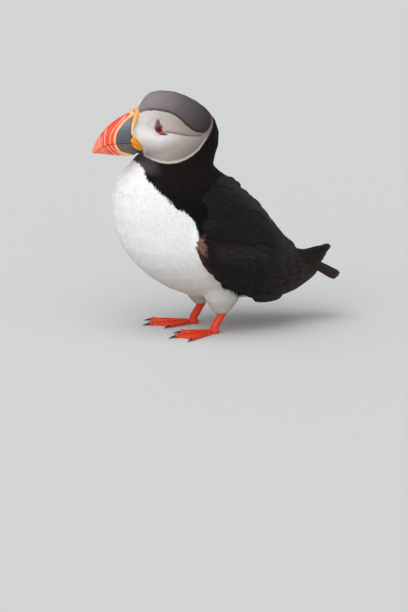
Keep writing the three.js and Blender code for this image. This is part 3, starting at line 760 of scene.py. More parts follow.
def add_node(tree, kind, inputs=None, **settings):
    """Adds a node: its settings first, then the values or links of its sockets."""
    made = tree.nodes.new(kind)
    for key, value in settings.items():
        setattr(made, key, value)
    for key, value in (inputs or {}).items():
        value = value.socket if isinstance(value, Value) else value
        value = value.outputs[0] if isinstance(value, bpy.types.Node) else value
        if isinstance(value, bpy.types.NodeSocket):
            tree.links.new(value, made.inputs[key])
        else:
            made.inputs[key].default_value = value
    return made


class Value:
    """A number in a shader. The usual operators add Math nodes to the same tree."""

    def __init__(self, finish, socket):
        self.finish, self.socket = finish, socket

    def maths(self, operation, *numbers):
        made = self.finish.node("ShaderNodeMath", dict(enumerate(numbers)), operation=operation)
        return Value(self.finish, made.outputs[0])

    def __add__(self, other):
        return self.maths("ADD", self, other)

    def __sub__(self, other):
        return self.maths("SUBTRACT", self, other)

    def __rsub__(self, other):
        return self.maths("SUBTRACT", other, self)

    def __mul__(self, other):
        return self.maths("MULTIPLY", self, other)

    def __pow__(self, other):
        return self.maths("POWER", self, other)

    __radd__ = __add__
    __rmul__ = __mul__

    def sine(self):
        return self.maths("SINE", self)

    def absolute(self):
        return self.maths("ABSOLUTE", self)

    def clamped(self):
        return self.maths("MAXIMUM", self.maths("MINIMUM", self, 1.0), 0.0)


class Finish:
    """A material under construction, with one way to add any node."""

    def __init__(self, name, **uniform):
        self.material = bpy.data.materials.new(name)
        self.material.use_nodes = True
        self.tree = self.material.node_tree
        self.tree.nodes.clear()
        self.shader = self.node("ShaderNodeBsdfPrincipled", uniform)
        self.node("ShaderNodeOutputMaterial", {"Surface": self.shader.outputs[0]})

    def node(self, kind, inputs=None, **settings):
        return add_node(self.tree, kind, inputs, **settings)

    def tint(self):
        return self.node("ShaderNodeAttribute", attribute_name="Tint").outputs["Color"]

    def object_place(self):
        return self.node("ShaderNodeTexCoord").outputs["Object"]

    def map_axes(self, name):
        """The two numbers of a UV map."""
        on_map = self.node("ShaderNodeUVMap", uv_map=name)
        parts = self.node("ShaderNodeSeparateXYZ", {0: on_map})
        return Value(self, parts.outputs[0]), Value(self, parts.outputs[1])

    def noise(self, per_metre, detail=3.0):
        inputs = {"Vector": self.object_place(), "Scale": per_metre, "Detail": detail, "Roughness": 0.55}
        return Value(self, self.node("ShaderNodeTexNoise", inputs).outputs[0])

    def cell_edges(self, per_metre):
        """How far each point is from the edge of its cell in a net."""
        inputs = {"Vector": self.object_place(), "Scale": per_metre}
        net = self.node("ShaderNodeTexVoronoi", inputs, feature="DISTANCE_TO_EDGE")
        return Value(self, net.outputs[0])

    def blend(self, first, second, share, how="MIX"):
        """Mixes two colours."""
        inputs = {0: share, 6: first, 7: second}
        return self.node("ShaderNodeMix", inputs, data_type="RGBA", blend_type=how).outputs[2]

    def shade(self, colour, level):
        """Sets the base colour, made lighter or darker by a number round 1."""
        grey = self.node("ShaderNodeCombineXYZ", {0: level, 1: level, 2: level})
        self.set("Base Color", self.blend(colour, grey, 1.0, "MULTIPLY"))

    def bump(self, height, strength, depth):
        inputs = {"Strength": strength, "Distance": depth * MM, "Height": height}
        self.set("Normal", self.node("ShaderNodeBump", inputs).outputs[0])

    def set(self, name, value):
        self.tree.links.new(value.socket if isinstance(value, Value) else value, self.shader.inputs[name])


@lru_cache
def plumage_finish():
    """Soft feather: the coat's tint, fine barbs along each feather and a faint sheen."""
    finish = Finish("plumage", **{"Roughness": 0.8, "Specular IOR Level": 0.11})
    across, along = finish.map_axes("Vane")
    barbs = ((along * 60.0) + ((across - 0.5).absolute() * 46.0)).sine()
    strands = finish.noise(900.0, 2.0)
    finish.shade(finish.tint(), 0.9 + along * 0.1 + strands * 0.1 - 0.05)
    finish.bump(barbs * 0.35 + strands, 0.25, 0.08)
    return finish.material


@lru_cache
def contour_finish():
    """Firm small feather: a fine shaft, slanting barbs and a soft gloss."""
    finish = Finish("contour_feather", **{"Specular IOR Level": 0.17})
    across, along = finish.map_axes("Vane")
    out = (across - 0.5).absolute() * 2.0
    patches = finish.noise(220.0, 3.0)
    barbs = (along * 150.0 - out * 44.0 + patches * 5.0).sine()
    shaft = 1.0 - (out * 16.0).clamped()
    finish.shade(finish.tint(), 0.72 + barbs * 0.07 + patches * 0.5 + shaft * 0.3)
    finish.set("Roughness", 0.46 + patches * 0.24)
    finish.bump(barbs * 0.4 + shaft * 1.2 + patches * 0.6, 0.45, 0.1)
    return finish.material


@lru_cache
def quill_finish():
    """Stiff flight feather: worn brown edges, a raised shaft and slanting barbs."""
    finish = Finish("flight_feather", **{"Specular IOR Level": 0.18})
    across, along = finish.map_axes("Vane")
    out = (across - 0.5).absolute() * 2.0
    patches = finish.noise(260.0)
    barbs = (along * 520.0 - out * 38.0).sine()
    shaft = 1.0 - (out * 22.0).clamped()
    wear = (out ** 6.0 + (along ** 22.0)).clamped()
    edge = finish.blend(finish.tint(), (0.06, 0.036, 0.026, 1.0), wear * 0.3)
    finish.shade(edge, 0.85 + barbs * 0.06 + patches * 0.3 + shaft * 0.5)
    finish.set("Roughness", 0.42 + patches * 0.24)
    finish.bump(barbs * 0.3 + shaft * 2.0, 0.4, 0.12)
    return finish.material


@lru_cache
def skin_finish():
    """Skin in the colours of its feathers, with a fine down."""
    finish = Finish("skin", **{"Roughness": 0.7, "Specular IOR Level": 0.16})
    down = finish.noise(1400.0, 3.0)
    finish.shade(finish.tint(), 0.88 + down * 0.16)
    finish.bump(down, 0.5, 0.3)
    return finish.material


# -------------------- the skin

FLESH = ["head", "neck", "trunk", "thigh_left", "thigh_right", "wing_left", "wing_right"]
FACE_PARTS = ["bill_upper", "bill_lower", "bill_band", "gape_rosette_left", "gape_rosette_right", "eye_left",
              "eye_right", "eye_ring_left", "eye_ring_right", "eye_plate_upper_left", "eye_plate_upper_right",
              "eye_plate_lower_left", "eye_plate_lower_right"]
# Height and forward along the middle of the band, and on to the chin.
BILL_ROOT = [(133, 61.5), (138, 60.2), (142, 59.6), (146, 60.4), (150.4, 61.8), (156, 64), (162.8, 62.8),
             (168.8, 59.6), (172.4, 57)]
CHIN = BILL_ROOT[0][0]
THROAT_HOLLOW = 3.0  # how much the feathers are drawn in under the bill
SWELL = 0.3  # closes the clearances between the solids before they are joined
EYE = place(45.7, 159.7, 15.4)
LOOK_FORWARD, LOOK_UP = math.radians(26), math.radians(14)
EYE_OUT = place(math.sin(LOOK_FORWARD) * math.cos(LOOK_UP), math.sin(LOOK_UP),
                math.cos(LOOK_FORWARD) * math.cos(LOOK_UP))
EYE_BACK = unit(np.cross(UP, EYE_OUT))
EYE_UP = np.cross(EYE_OUT, EYE_BACK)
EYE_MIDDLE = EYE - 1.0 * EYE_UP  # the opening lies a little low on the ball


def coat_depth(points):
    """How deep the skin lies under the coat's outside: least on the face."""
    height = points[:, 2]
    depth = np.interp(height, [20, 40, 100, 128, 140, 160], [0.8, 1.1, 1.1, 0.9, 0.6, 0.5])
    at_tail = ramp(60, 80, points[:, 1])
    return depth * (1 - 0.4 * at_tail) + 0.15 * ramp(168, 176, height)


def face_relief(points):
    """Folds of the face: the crease behind the eye and the lids round it."""
    crease = outline_distance(points, CREASE, closed=False)
    side = ramp(9, 13, np.abs(points[:, 0]))
    relief = -0.55 * bell(crease, 0.7) + 0.3 * bell(crease - 1.7, 1.0)
    from_eye = size(np.abs(points) - np.abs(EYE))
    lid = 0.45 * bell(from_eye - 5.4, 0.9) - 0.35 * bell(from_eye - 7.4, 1.1)
    off = points * np.where(points[:, :1] < 0, [-1, 1, 1], [1, 1, 1]) - EYE_MIDDLE
    off = off - (off @ EYE_OUT)[:, None] * EYE_OUT
    opening = -2.2 * ramp(3.6, 2.6, size(off))
    return side * (relief + lid + opening)


def bill_root(points):
    """How far forward the bill's root lies at each point's height."""
    reach = curve(BILL_ROOT, 80)
    return np.interp(points[:, 2], reach[:, 0], reach[:, 1])


@lru_cache
def skin_surface():
    """The one skin under the whole coat, as a surface in the bird's frame."""
    points, corners = remeshed(FLESH + FACE_PARTS, 1.0, 60, SWELL)
    normals = vertex_normals(points, corners)
    face = (points[:, 2] > 132) & (-points[:, 1] > 0)
    relief = np.where(face, face_relief(points), 0)
    points = points + normals * (relief - coat_depth(points) - SWELL)[:, None]
    throat = bell(points[:, 2] - 128, 6.5) * ramp(30, 52, -points[:, 1])
    points[:, 1] += THROAT_HOLLOW * throat
    points = relax(points, corners, 6)
    in_bill = (points[:, 2] > CHIN) & (points[:, 2] < 176)
    front = np.where(in_bill, bill_root(points) + 0.3, 99)
    points[:, 1] = np.maximum(points[:, 1], -front)
    return Surface(points, corners)


def node_surface(*nodes):
    """The solids of these nodes just as they are, as a surface to measure against."""
    return Surface(*joined(arrays(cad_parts[node].data) for node in nodes))


def make_skin():
    surface = skin_surface()
    points, corners = surface.points, surface.corners
    add_piece("skin", points, corners, skin_finish(), plumage(points), "trunk_plumage", *FLESH)


# -------------------- the coat of small feathers


def unwrapped(points):
    """Roots on an unwrap of the skin, round the body against along it."""
    line = curve(SPINE, SPINE_STEPS)
    away = size(points[:, None] - line[None])
    index = away.argmin(1)
    ahead = unit(np.gradient(line, axis=0))[index]
    outwards = points - line[index]
    up = unit(np.cross(ahead, LEFT))
    turn = np.arctan2(outwards[:, 0], np.sum(outwards * up, 1))
    spot = index + np.sum(outwards * ahead, 1)
    flat = np.stack([turn / (2 * math.pi) + 0.5, spot], 1)
    low, high = flat.min(0), flat.max(0)
    return 0.01 + 0.98 * (flat - low) / (high - low)


class Region(NamedTuple):
    """One piece of the coat: the size and spacing of its feathers, and where it grows."""

    name: str
    slot: str
    length: float
    width: float
    spacing: float
    stand: float  # how much of the coat's depth the tips reach
    ragged: float  # degrees that feathers stray from the lie of the coat
    inside: object  # the function that finds the points in it
    shape: Shape = TUFT
    softness: float = 0.75


COLLAR_BASE = 114  # height at which collar and breast meet
BELLY_FRONT = 34  # how far forward breast and belly meet
WHITE_EDGE = 3  # how far past the white its soft feathers grow


def on_head(points):
    """The head down to a little below the cheek's lower edge."""
    forwards, heights = zip(*FACE_EDGE)
    edge = np.interp(-points[:, 1], forwards, heights) - 3.5
    return points[:, 2] > np.minimum(edge, 140.0)


def on_face(points):
    return on_head(points) & (cheek_distance(points) < 0.8) & (crown_distance(points) > -0.4)


def on_neck(points):
    """Collar and nape, and the dark side of the breast down to the wing."""
    beside_breast = (-points[:, 1] > 18) & (points[:, 2] > 78) & (white_distance(points) >= WHITE_EDGE)
    return ~on_head(points) & ((points[:, 2] > COLLAR_BASE) | beside_breast)


def on_white(points):
    """Breast and belly below the collar."""
    return (points[:, 2] <= COLLAR_BASE) & (white_distance(points) < WHITE_EDGE)


def on_breast(points):
    return on_white(points) & (-points[:, 1] > BELLY_FRONT)


def on_thigh(points):
    return (points[:, 2] < 30) & (np.abs(points[:, 0]) > 8) & (np.abs(points[:, 1] - 4) < 22)


def on_belly(points):
    return on_white(points) & (-points[:, 1] <= BELLY_FRONT) & ~on_thigh(points)


def on_back(points):
    return (points[:, 2] <= COLLAR_BASE) & ~on_white(points) & ~on_neck(points)


REGIONS = [
    Region("face_plumage", "head_plumage", 2.7, 0.84, 0.5, 0.75, 5, on_face, softness=0.8),
    Region("crown_plumage", "head_plumage", 3.4, 0.98, 0.6, 0.8, 5, lambda p: on_head(p) & ~on_face(p)),
    Region("neck_plumage", "neck_plumage", 5.5, 1.45, 0.86, 0.85, 5, on_neck),
    Region("breast_plumage", "trunk_plumage", 8.5, 1.75, 0.84, 0.85, 4, on_breast, softness=0.8),
    Region("belly_plumage", "trunk_plumage", 8.5, 1.8, 0.88, 0.85, 5, on_belly, softness=0.8),
    Region("thigh_plumage", "trunk_plumage", 4.6, 1.25, 0.72, 0.95, 7, on_thigh, softness=0.8),
    Region("back_plumage", "trunk_plumage", 11.0, 5.6, 3.2, 0.9, 5, on_back, CONTOUR, 0.5),
]


@lru_cache
def bare_surface():
    """Everything on the head and legs that no feather may cross."""
    nodes = ("bill_band", "gape_rosette_left", "gape_rosette_right", "shank_left", "shank_right")
    forms = [arrays(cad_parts[node].data) for node in nodes]
    forms += [make(side) for make in (lids, upper_plate, lower_plate) for side in SIDES.values()]
    return Surface(*joined(forms))


def make_region(region, number):
    """Feathers of one region, rooted in the skin with their tips at the coat's surface."""
    rng = np.random.default_rng(100 + number)
    surface = skin_surface()
    shape = region.shape
    middles = surface.points[surface.corners].mean(1)
    roots, normals = surface.scatter(region.spacing, rng, region.inside(middles))
    hidden = node_surface("wing_left", "wing_right", "tail").covers(roots, normals, 3.0)
    in_bill = (roots[:, 2] > CHIN) & (-roots[:, 1] > bill_root(roots) - 0.8)
    clear = ~hidden & ~in_bill
    roots, normals = roots[clear], normals[clear]
    grown = chosen("plumage").feather_size
    length = grown * region.length * rng.uniform(0.8, 1.2, len(roots))
    from_edge = np.minimum(np.abs(cheek_distance(roots)), np.abs(crown_distance(roots)))
    length = length * (1 - 0.4 * bell(from_edge, 2.2))
    turn = np.radians(rng.normal(0, region.ragged, len(roots)))[:, None]
    ahead = lie(roots, normals)
    ahead = ahead * np.cos(turn) + np.cross(normals, ahead) * np.sin(turn)
    centres, facing, along = follow(surface, roots, ahead, length, shape.stations)
    bare = bare_surface()
    room = min(0.35 + 0.5 * region.width, 2.0)
    free = (bare.distance(roots, 3.0) > room) & (bare.distance(centres[:, -2], 3.0) > 0.5)
    if shape is CONTOUR:  # the dark back feathers keep clear of the white
        free &= np.all([white_distance(centres[:, k]) > 1.5 for k in (2, 4, 6)], axis=0)
    roots, centres, facing, along = roots[free], centres[free], facing[free], along[free]
    count = len(roots)
    width = grown * region.width * rng.uniform(0.8, 1.2, count)
    top = coat_depth(roots) * region.stand * rng.uniform(0.85, 1.08, count)
    lift = top[:, None] * np.interp(shape.stations, [0, 0.35, 0.78, 1], [-0.15, 0.6, 0.92, 1.0])
    thickness = min(0.09 * region.width, 0.25)
    points = feather_points(shape, centres, facing, along, width, lift, thickness)
    share = 1.0 if region.slot == "head_plumage" else 0.45  # how far along itself a feather changes colour
    spots = centres[:, :1] + (centres - centres[:, :1]) * share
    seen = plumage(spots.reshape(-1, 3)).reshape(spots.shape)
    shade = rng.normal(1, 0.035, count)[:, None, None]
    tints = np.clip(on_vertices(shape, seen) * shade, 0, 1)
    flat = unwrapped(roots)
    for hand, side in SIDES.items():
        mine = roots[:, 0] * side > 0
        coat = feather_coat(f"{region.name}_{hand}", shape, points[mine], tints[mine], flat[mine],
                            facing[mine], region.softness)
        finish_piece(coat, region.slot)


# -------------------- wings and tail

WING_LOW = [(30.5, 77.5), (21.5, 58.4), (0, 38), (-29, 26), (-57, 28.8), (-79, 38), (-92.4, 47), (-97.4, 54)]
WING_HIGH = [(30.5, 79.5), (20, 95.5), (-6, 99.8), (-34, 88), (-58.5, 65.4), (-80, 55.2), (-96.4, 57.4),
             (-97.8, 56)]
WING_DEPTH = 1.3


@lru_cache
def wing_surface():
    """The left wing's form under its feathers."""
    points, corners = remeshed(["wing_left", "primaries_left"], 0.9, 50, SWELL)
    points = points - vertex_normals(points, corners) * (WING_DEPTH + SWELL)
    return Surface(points, corners)


@lru_cache
def wing_edges():
    return curve(np.array(WING_LOW), 400), curve(np.array(WING_HIGH), 400)


def wing_spot(u, v):
    """(forward, height) on the wing: u runs from wrist to tip, v from the lower edge up."""
    low, high = wing_edges()
    steps = np.linspace(0, 1, len(low))
    ends = [np.stack([np.interp(u, steps, edge[:, k]) for k in (0, 1)], -1) for edge in (low, high)]
    return ends[0] + (ends[1] - ends[0]) * v[..., None]


@lru_cache
def wing_lengths():
    """How far along the middle of the wing each u lies."""
    u = np.linspace(0, 1, 400)
    middle = wing_spot(u, np.full(400, 0.45))
    return u, np.concatenate([[0], np.cumsum(size(np.diff(middle, axis=0)))])


def wing_u(along):
    u, lengths = wing_lengths()
    return np.interp(along, lengths, u)


def wing_width(u):
    """From the lower to the upper edge."""
    ends = [wing_spot(np.atleast_1d(u), np.atleast_1d(v)) for v in (0.0, 1.0)]
    return float(np.linalg.norm(ends[1] - ends[0]))


def smoothed(table, rounds):
    """A table over rows and columns, each entry drawn towards its neighbours."""
    for _ in range(rounds):
        padded = np.pad(table, [(1, 1), (1, 1)] + [(0, 0)] * (table.ndim - 2), "edge")
        beside = padded[2:, 1:-1] + padded[:-2, 1:-1] + padded[1:-1, 2:] + padded[1:-1, :-2]
        table = 0.5 * table + 0.125 * beside
    return table


FACE_ROWS, FACE_COLUMNS = 110, 44


class WingFace:
    """The outer face of the wing as a smooth table over u and v, which closes small gaps in the form.

    Patience is how much of a feather may lie over a gap before the feather is left out.
    """

    def __init__(self, surface, low, high, patience):
        self.low, self.high, self.patience = low, high, patience
        rows, columns = np.linspace(0, 1, FACE_ROWS), np.linspace(low, high, FACE_COLUMNS)
        u, v = np.meshgrid(rows, columns, indexing="ij")
        spots = wing_spot(u, v)
        starts = np.stack([np.full(u.shape, 90.0), -spots[..., 0], spots[..., 1]], -1)
        places, _, missed = surface.seen_from(starts.reshape(-1, 3), (-1, 0, 0))
        self.missed = missed.reshape(u.shape)
        out = places[:, 0].reshape(u.shape)
        steps = np.arange(FACE_COLUMNS)
        for row in range(FACE_ROWS):
            found = ~self.missed[row]
            if found.sum() > 1:
                out[row] = np.interp(steps, steps[found], out[row, found])
            elif row:
                out[row] = out[row - 1]
        self.places = np.stack([smoothed(out, 14), starts[..., 1], starts[..., 2]], -1)
        ahead, up = np.gradient(self.places, axis=0), np.gradient(self.places, axis=1)
        normals = np.cross(ahead, up)
        self.normals = unit(smoothed(unit(normals * np.sign(normals[..., :1] + 1e-9)), 24))

    def look_up(self, table, u, v):
        rows, columns = table.shape[:2]
        a = np.clip(u, 0, 1) * (rows - 1)
        b = np.clip((v - self.low) / (self.high - self.low), 0, 1) * (columns - 1)
        i, j = np.minimum(a.astype(int), rows - 2), np.minimum(b.astype(int), columns - 2)
        s, t = (a - i)[..., None], (b - j)[..., None]
        near = table[i, j] * (1 - s) + table[i + 1, j] * s
        return near * (1 - t) + (table[i, j + 1] * (1 - s) + table[i + 1, j + 1] * s) * t

    def lines(self, along, v_root, v_tip, length, stations):
        """Middle lines that start this far along the wing and go from v_root to v_tip."""
        reach = along[:, None] + length[:, None] * stations
        v = v_root[:, None] + (v_tip - v_root)[:, None] * stations
        u = wing_u(reach)
        centres = self.look_up(self.places, u, v)
        normals = unit(self.look_up(self.normals, u, v))
        gone = self.look_up(self.missed[..., None].astype(float), u, v)[..., 0]
        return centres, normals, unit(np.gradient(centres, axis=1)), gone.mean(1) > self.patience


@lru_cache
def wing_face():
    return WingFace(wing_surface(), 0.0, 1.0, 0.9)


@lru_cache
def shoulder_face():
    return WingFace(skin_surface(), 0.4, 1.35, 0.3)


def rimmed(shape, base, rim, share, count):
    """Each feather's tint, [feather, vertex, 3], with its edge and tip paler."""
    worn = np.clip(shape.across**4 * shape.along + ramp(0.86, 1.0, shape.along), 0, 1)
    worn = worn[None, :, None] * share
    base = np.broadcast_to(np.asarray(base), (count, 3))[:, None]
    return base * (1 - worn) + np.asarray(rim) * worn


def settled(points):
    """The right wing's tip lies a little lower than the left one's."""
    lower = chosen("wing").settle / MM * ramp(48, 84, points[..., 1])
    return points - lower[..., None] * UP


def pair_of_coats(name, slot, shape, feathers, tints, nodes=()):
    """The same feathers on both sides of the bird, as one piece each."""
    points, roots, facing = feathers
    flat = unwrapped(roots)
    for hand, side in SIDES.items():
        turned = points * [side, 1, 1]
        turned = settled(turned) if side < 0 else turned
        coat = feather_coat(f"{name}_{hand}", shape, turned, tints, flat, facing * [side, 1, 1], 0.5)
        finish_piece(coat, slot, *[f"{node}_{hand}" for node in nodes])


class Row(NamedTuple):
    """Feathers side by side across the wing: where they start, their size, and how high they lie."""

    along: float
    length: float
    width: float
    spacing: float
    v_range: tuple = (0.02, 1.0)
    lift: tuple = (0.1, 0.8)


COVERT_ROWS = [Row(along, 7.5 + 0.1 * along, 4.4 + 0.07 * along, 2.9 + 0.04 * along,
                   (0.02, 0.62 + 0.38 * min(1.0, along / 40)))
               for along in np.arange(5.5, 30, 2.9)]
COVERT_ROWS += [Row(32, 15, 7.5, 4.8), Row(38, 18, 8.0, 5.0), Row(46, 23, 8.5, 5.4)]


def row_feathers(face, rows, shape, rng):
    """All feathers of these rows on the left side: their vertices, roots and the surface's normals."""
    parts = []
    for number, row in enumerate(rows):
        low, high = row.v_range
        across = wing_width(wing_u(row.along + row.length / 2)) * (high - low)
        count = max(2, round(across / row.spacing))
        v = low + (high - low) * (np.arange(count) + 0.5 * (number % 2)) / count
        v = v + rng.normal(0, 0.008, count)
        along = row.along + rng.normal(0, 0.6, count)
        length = row.length * rng.uniform(0.92, 1.08, count)
        centres, normals, ahead, gone = face.lines(along, v, v, length, shape.stations)
        centres, normals, ahead = centres[~gone], normals[~gone], ahead[~gone]
        count = len(centres)
        if not count:
            continue
        low_lift, high_lift = row.lift
        lift = (low_lift + (high_lift - low_lift) * shape.stations)[None] * rng.uniform(0.9, 1.1, (count, 1))
        width = row.width * rng.uniform(0.92, 1.08, count)
        points = feather_points(shape, centres, normals, ahead, width, lift, 0.2, 0.05)
        parts.append((points, centres[:, 0], normals))
    return tuple(np.concatenate(part) for part in zip(*parts))


def front_edge(height):
    """How far forward the wing's front edge lies at a height."""
    return np.interp(height, *zip(*[(z, f) for f, z in WING_LOW[3::-1]]))


def wrist_look(places):
    """How brown the feathers of the wing's front edge are, and their brown."""
    look = chosen("wing")
    forward, height = side_view(places)
    edge = front_edge(height)
    reach = np.interp(height, [48, 62, 74], [0.8, 2.6, 6.0])
    brown = ramp(reach + 2.8, reach - 1.5, edge - forward) * ramp(44, 56, height)
    tone = blend(look.wrist_dark, look.wrist, ramp(62, 74, height))
    return brown, tone


def make_wrist():
    """Small feathers that wrap round the wing's front edge, pale brown at the wrist."""
    rng = np.random.default_rng(17)
    surface = wing_surface()
    middles = surface.points[surface.corners].mean(1)
    at_edge = front_edge(middles[:, 2]) + middles[:, 1] < 8
    near = (middles[:, 2] > 46) & (middles[:, 2] < 84) & at_edge & (surface.normals[:, 0] > -0.3)
    roots, _ = surface.scatter(1.7, rng, near)
    ahead = unit(place(-1.0, -0.35))
    length = rng.uniform(5.0, 6.4, len(roots))
    centres, facing, along = follow(surface, roots, ahead, length, CONTOUR.stations)
    count = len(roots)
    rise = np.interp(CONTOUR.stations, [0, 0.4, 1], [-0.1, 0.5, 1.0])
    lift = rise * rng.uniform(0.9, 1.1, (count, 1))
    width = rng.uniform(3.2, 4.0, count)
    points = feather_points(CONTOUR, centres, facing, along, width, lift, 0.2, 0.05)
    brown, tone = wrist_look(centres[:, 3])
    base = blend(chosen("wing").covert, tone, brown) * rng.normal(1, 0.08, count)[:, None]
    tints = rimmed(CONTOUR, base, (base * 1.3)[:, None], 0.5, count)
    pair_of_coats("wrist_coverts", "wing_plumage", CONTOUR, (points, roots, facing), tints)


def make_coverts():
    """The small feathers of the wing, from the brown wrist back to the long coverts."""
    look = chosen("wing")
    rng = np.random.default_rng(11)
    feathers = row_feathers(wing_face(), COVERT_ROWS, CONTOUR, rng)
    middles = feathers[0].mean(1)
    count = len(middles)
    forward, height = side_view(middles)
    brown, patch = wrist_look(middles)
    base = blend(look.covert, look.flight, 0.8 * ramp(66, 46, height))
    # Painted sheen: a paler band of reflected light just below the wing's fold.
    base = blend(base, look.sheen, 0.7 * bell(height - 69 + 0.12 * (26 - forward), 5.5))
    base = blend(base, patch, brown)
    base = base * rng.normal(1, 0.14, count)[:, None]
    rim = blend(look.covert_rim, patch * 1.15, brown)[:, None]
    tints = rimmed(CONTOUR, base, rim, 0.45, count)
    pair_of_coats("wing_coverts", "wing_plumage", CONTOUR, feathers, tints)


SECONDARIES = [Row(56, 30, 9.5, 5.2, (0.03, 0.97), (0.1, 1.1)),
               Row(64, 33, 9.5, 5.0, (0.06, 0.95), (0.1, 1.1)),
               Row(72, 35, 9.0, 4.8, (0.1, 0.93), (0.1, 1.1))]
PRIMARY_COUNT = 9
PRIMARY_START = 74


def make_secondaries():
    """Secondaries and tertials, with worn brown edges."""
    look = chosen("wing")
    feathers = row_feathers(wing_face(), SECONDARIES, QUILL, np.random.default_rng(13))
    tints = rimmed(QUILL, look.flight, look.flight_rim, 0.25, len(feathers[0]))
    pair_of_coats("secondaries", "wing_plumage", QUILL, feathers, tints)


def make_primaries():
    """The long flight feathers, whose stacked tips make the wing's slanting end."""
    look = chosen("wing")
    rng = np.random.default_rng(14)
    v_root, v_tip = np.linspace(0.08, 0.8, PRIMARY_COUNT), np.linspace(0.12, 0.9, PRIMARY_COUNT)
    start = np.full(PRIMARY_COUNT, float(PRIMARY_START))
    end = wing_lengths()[1][-1] * np.linspace(0.9, 0.985, PRIMARY_COUNT) + rng.normal(0, 0.3, PRIMARY_COUNT)
    centres, normals, ahead, _ = wing_face().lines(start, v_root, v_tip, end - start, QUILL.stations)
    beyond = ramp(0.3, 0.6, QUILL.stations)  # the part that the secondaries leave open
    centres[..., 0] += beyond * (smoothed(centres[..., 0], 8) - centres[..., 0])
    normals = unit(smoothed(normals, 8))
    stack = np.arange(PRIMARY_COUNT)[:, None] * (0.03 + 0.09 * QUILL.stations)
    lift = (-0.25 + 1.25 * QUILL.stations**1.5)[None] + stack
    width = look.primary_width / MM
    width = np.linspace(width * 1.1, width * 0.8, PRIMARY_COUNT)
    points = feather_points(QUILL, centres, normals, ahead, width, lift, 0.15, -0.06, 0.02)
    tints = rimmed(QUILL, look.flight, look.flight_rim, 0.8, PRIMARY_COUNT)
    feathers = (points, centres[:, 0], normals)
    pair_of_coats("primaries", "flight_feather", QUILL, feathers, tints, ["primaries"])


# Where the shoulder feathers end: how far along the wing, and how far up it.
FOLD_LINE = [(-5, 0.86), (2, 0.74), (12, 0.67), (24, 0.63), (40, 0.64), (52, 0.68), (66, 0.74)]


def scapular_row(along):
    """A row of shoulder feathers, small at the neck and longer towards the rump."""
    low = float(np.interp(along + 10, *zip(*FOLD_LINE)))
    grown = min(1.0, (along + 6) / 30)
    return Row(along, 7 + 8 * grown, 3.6 + 3.8 * grown, 2.1 + 2.0 * grown, (low, 1.34),
               (0.35, 1.2 + 0.6 * grown))


SCAPULAR_ROWS = [scapular_row(along) for along in np.cumsum([-5.0, *np.linspace(2.3, 4.4, 20)])]


def make_scapulars():
    """Feathers of the shoulder that fall over the wing's upper edge."""
    look = chosen("plumage")
    rng = np.random.default_rng(15)
    feathers = row_feathers(shoulder_face(), SCAPULAR_ROWS, CONTOUR, rng)
    behind_wrist = -feathers[1][:, 1] < 25
    feathers = tuple(part[behind_wrist] for part in feathers)
    count = len(feathers[0])
    patches = 1.15 + 0.5 * speckle(feathers[0].mean(1), 15.0, 7.0)
    shade = patches * rng.normal(1, 0.16, count)
    base = blend(look.mantle, chosen("wing").covert, 0.6) * shade[:, None]
    tints = rimmed(CONTOUR, base, look.mantle_rim, 0.5, count)
    pair_of_coats("scapulars", "wing_plumage", CONTOUR, feathers, tints)


TAIL_ROOT = place(-62, 54.6)
TAIL_SLOPE = math.radians(24.5)
TAIL_ROOT_SPREAD = 7.5
TAIL_TIP_SPREAD = 14.5


def make_tail():
    """Sixteen rounded feathers closed to a narrow arched fan, the middle pair on top."""
    look = chosen("wing")
    back = place(-math.cos(TAIL_SLOPE), -math.sin(TAIL_SLOPE))
    up = place(-math.sin(TAIL_SLOPE), math.cos(TAIL_SLOPE))
    count = look.tail_feathers
    across = np.linspace(-1, 1, count)
    stations = QUILL.stations
    length = look.tail_length / MM * (1 - 0.14 * across**2)
    left = across[:, None] * (TAIL_ROOT_SPREAD + (TAIL_TIP_SPREAD - TAIL_ROOT_SPREAD) * stations)
    reach = length[:, None] * stations
    above = up * 30
    starts = TAIL_ROOT + back * reach[..., None] + above + LEFT * left[..., None]
    surface = node_surface("tail")
    places, _, missed = surface.seen_from(starts.reshape(-1, 3), Vector(-up))
    if missed.any():
        places[missed] = surface.nearest(places[missed] - above)[0]
    centres = places.reshape(*reach.shape, 3)
    lean = across[:, None, None] * math.radians(38)
    normals = unit(up * np.cos(lean) + LEFT * np.sin(lean)) * np.ones((1, len(stations), 1))
    ahead = unit(np.gradient(centres, axis=1))
    lift = (0.7 - 0.9 * np.abs(across))[:, None] * np.ones((1, len(stations)))
    width = np.full(count, look.tail_width / MM)
    points = feather_points(QUILL, centres, normals, ahead, width, lift, 0.2)
    tints = rimmed(QUILL, look.flight, look.flight_rim, 0.6, count)
    tail = feather_coat("tail_feathers", QUILL, points, tints, None, normals, 0.6)
    finish_piece(tail, "flight_feather", "tail")


# -------------------- bill

BILL_RIDGE_LINE = [(138.5, 64.3), (141.4, 72.3), (145, 75.9), (148.7, 77.2), (153, 76.9), (157.4, 75),
                   (162, 71), (165.5, 66.6), (168.5, 61.5)]
BILL_GROOVES = [
    [(138.6, 69.4), (139.8, 73), (142.6, 76.9), (146, 79.9), (148.9, 80.9), (152.3, 80.7), (155.7, 79.6),
     (160, 76.4), (164, 72), (168, 66.5)],
    [(139.2, 75.2), (142, 79.2), (146.2, 83), (148, 84.7), (150.4, 84.6), (153.6, 84.2), (157.3, 82.8),
     (161, 79.6), (164.6, 74.5)],
    [(139.4, 82.2), (143, 86), (145.5, 87.4), (148.5, 88.3), (152, 87.6), (156, 85.6)],
]
MOUTH_HEIGHTS = [(62, 148), (77.6, 147.8), (85.5, 146.2), (89.6, 143.2), (93, 140)]


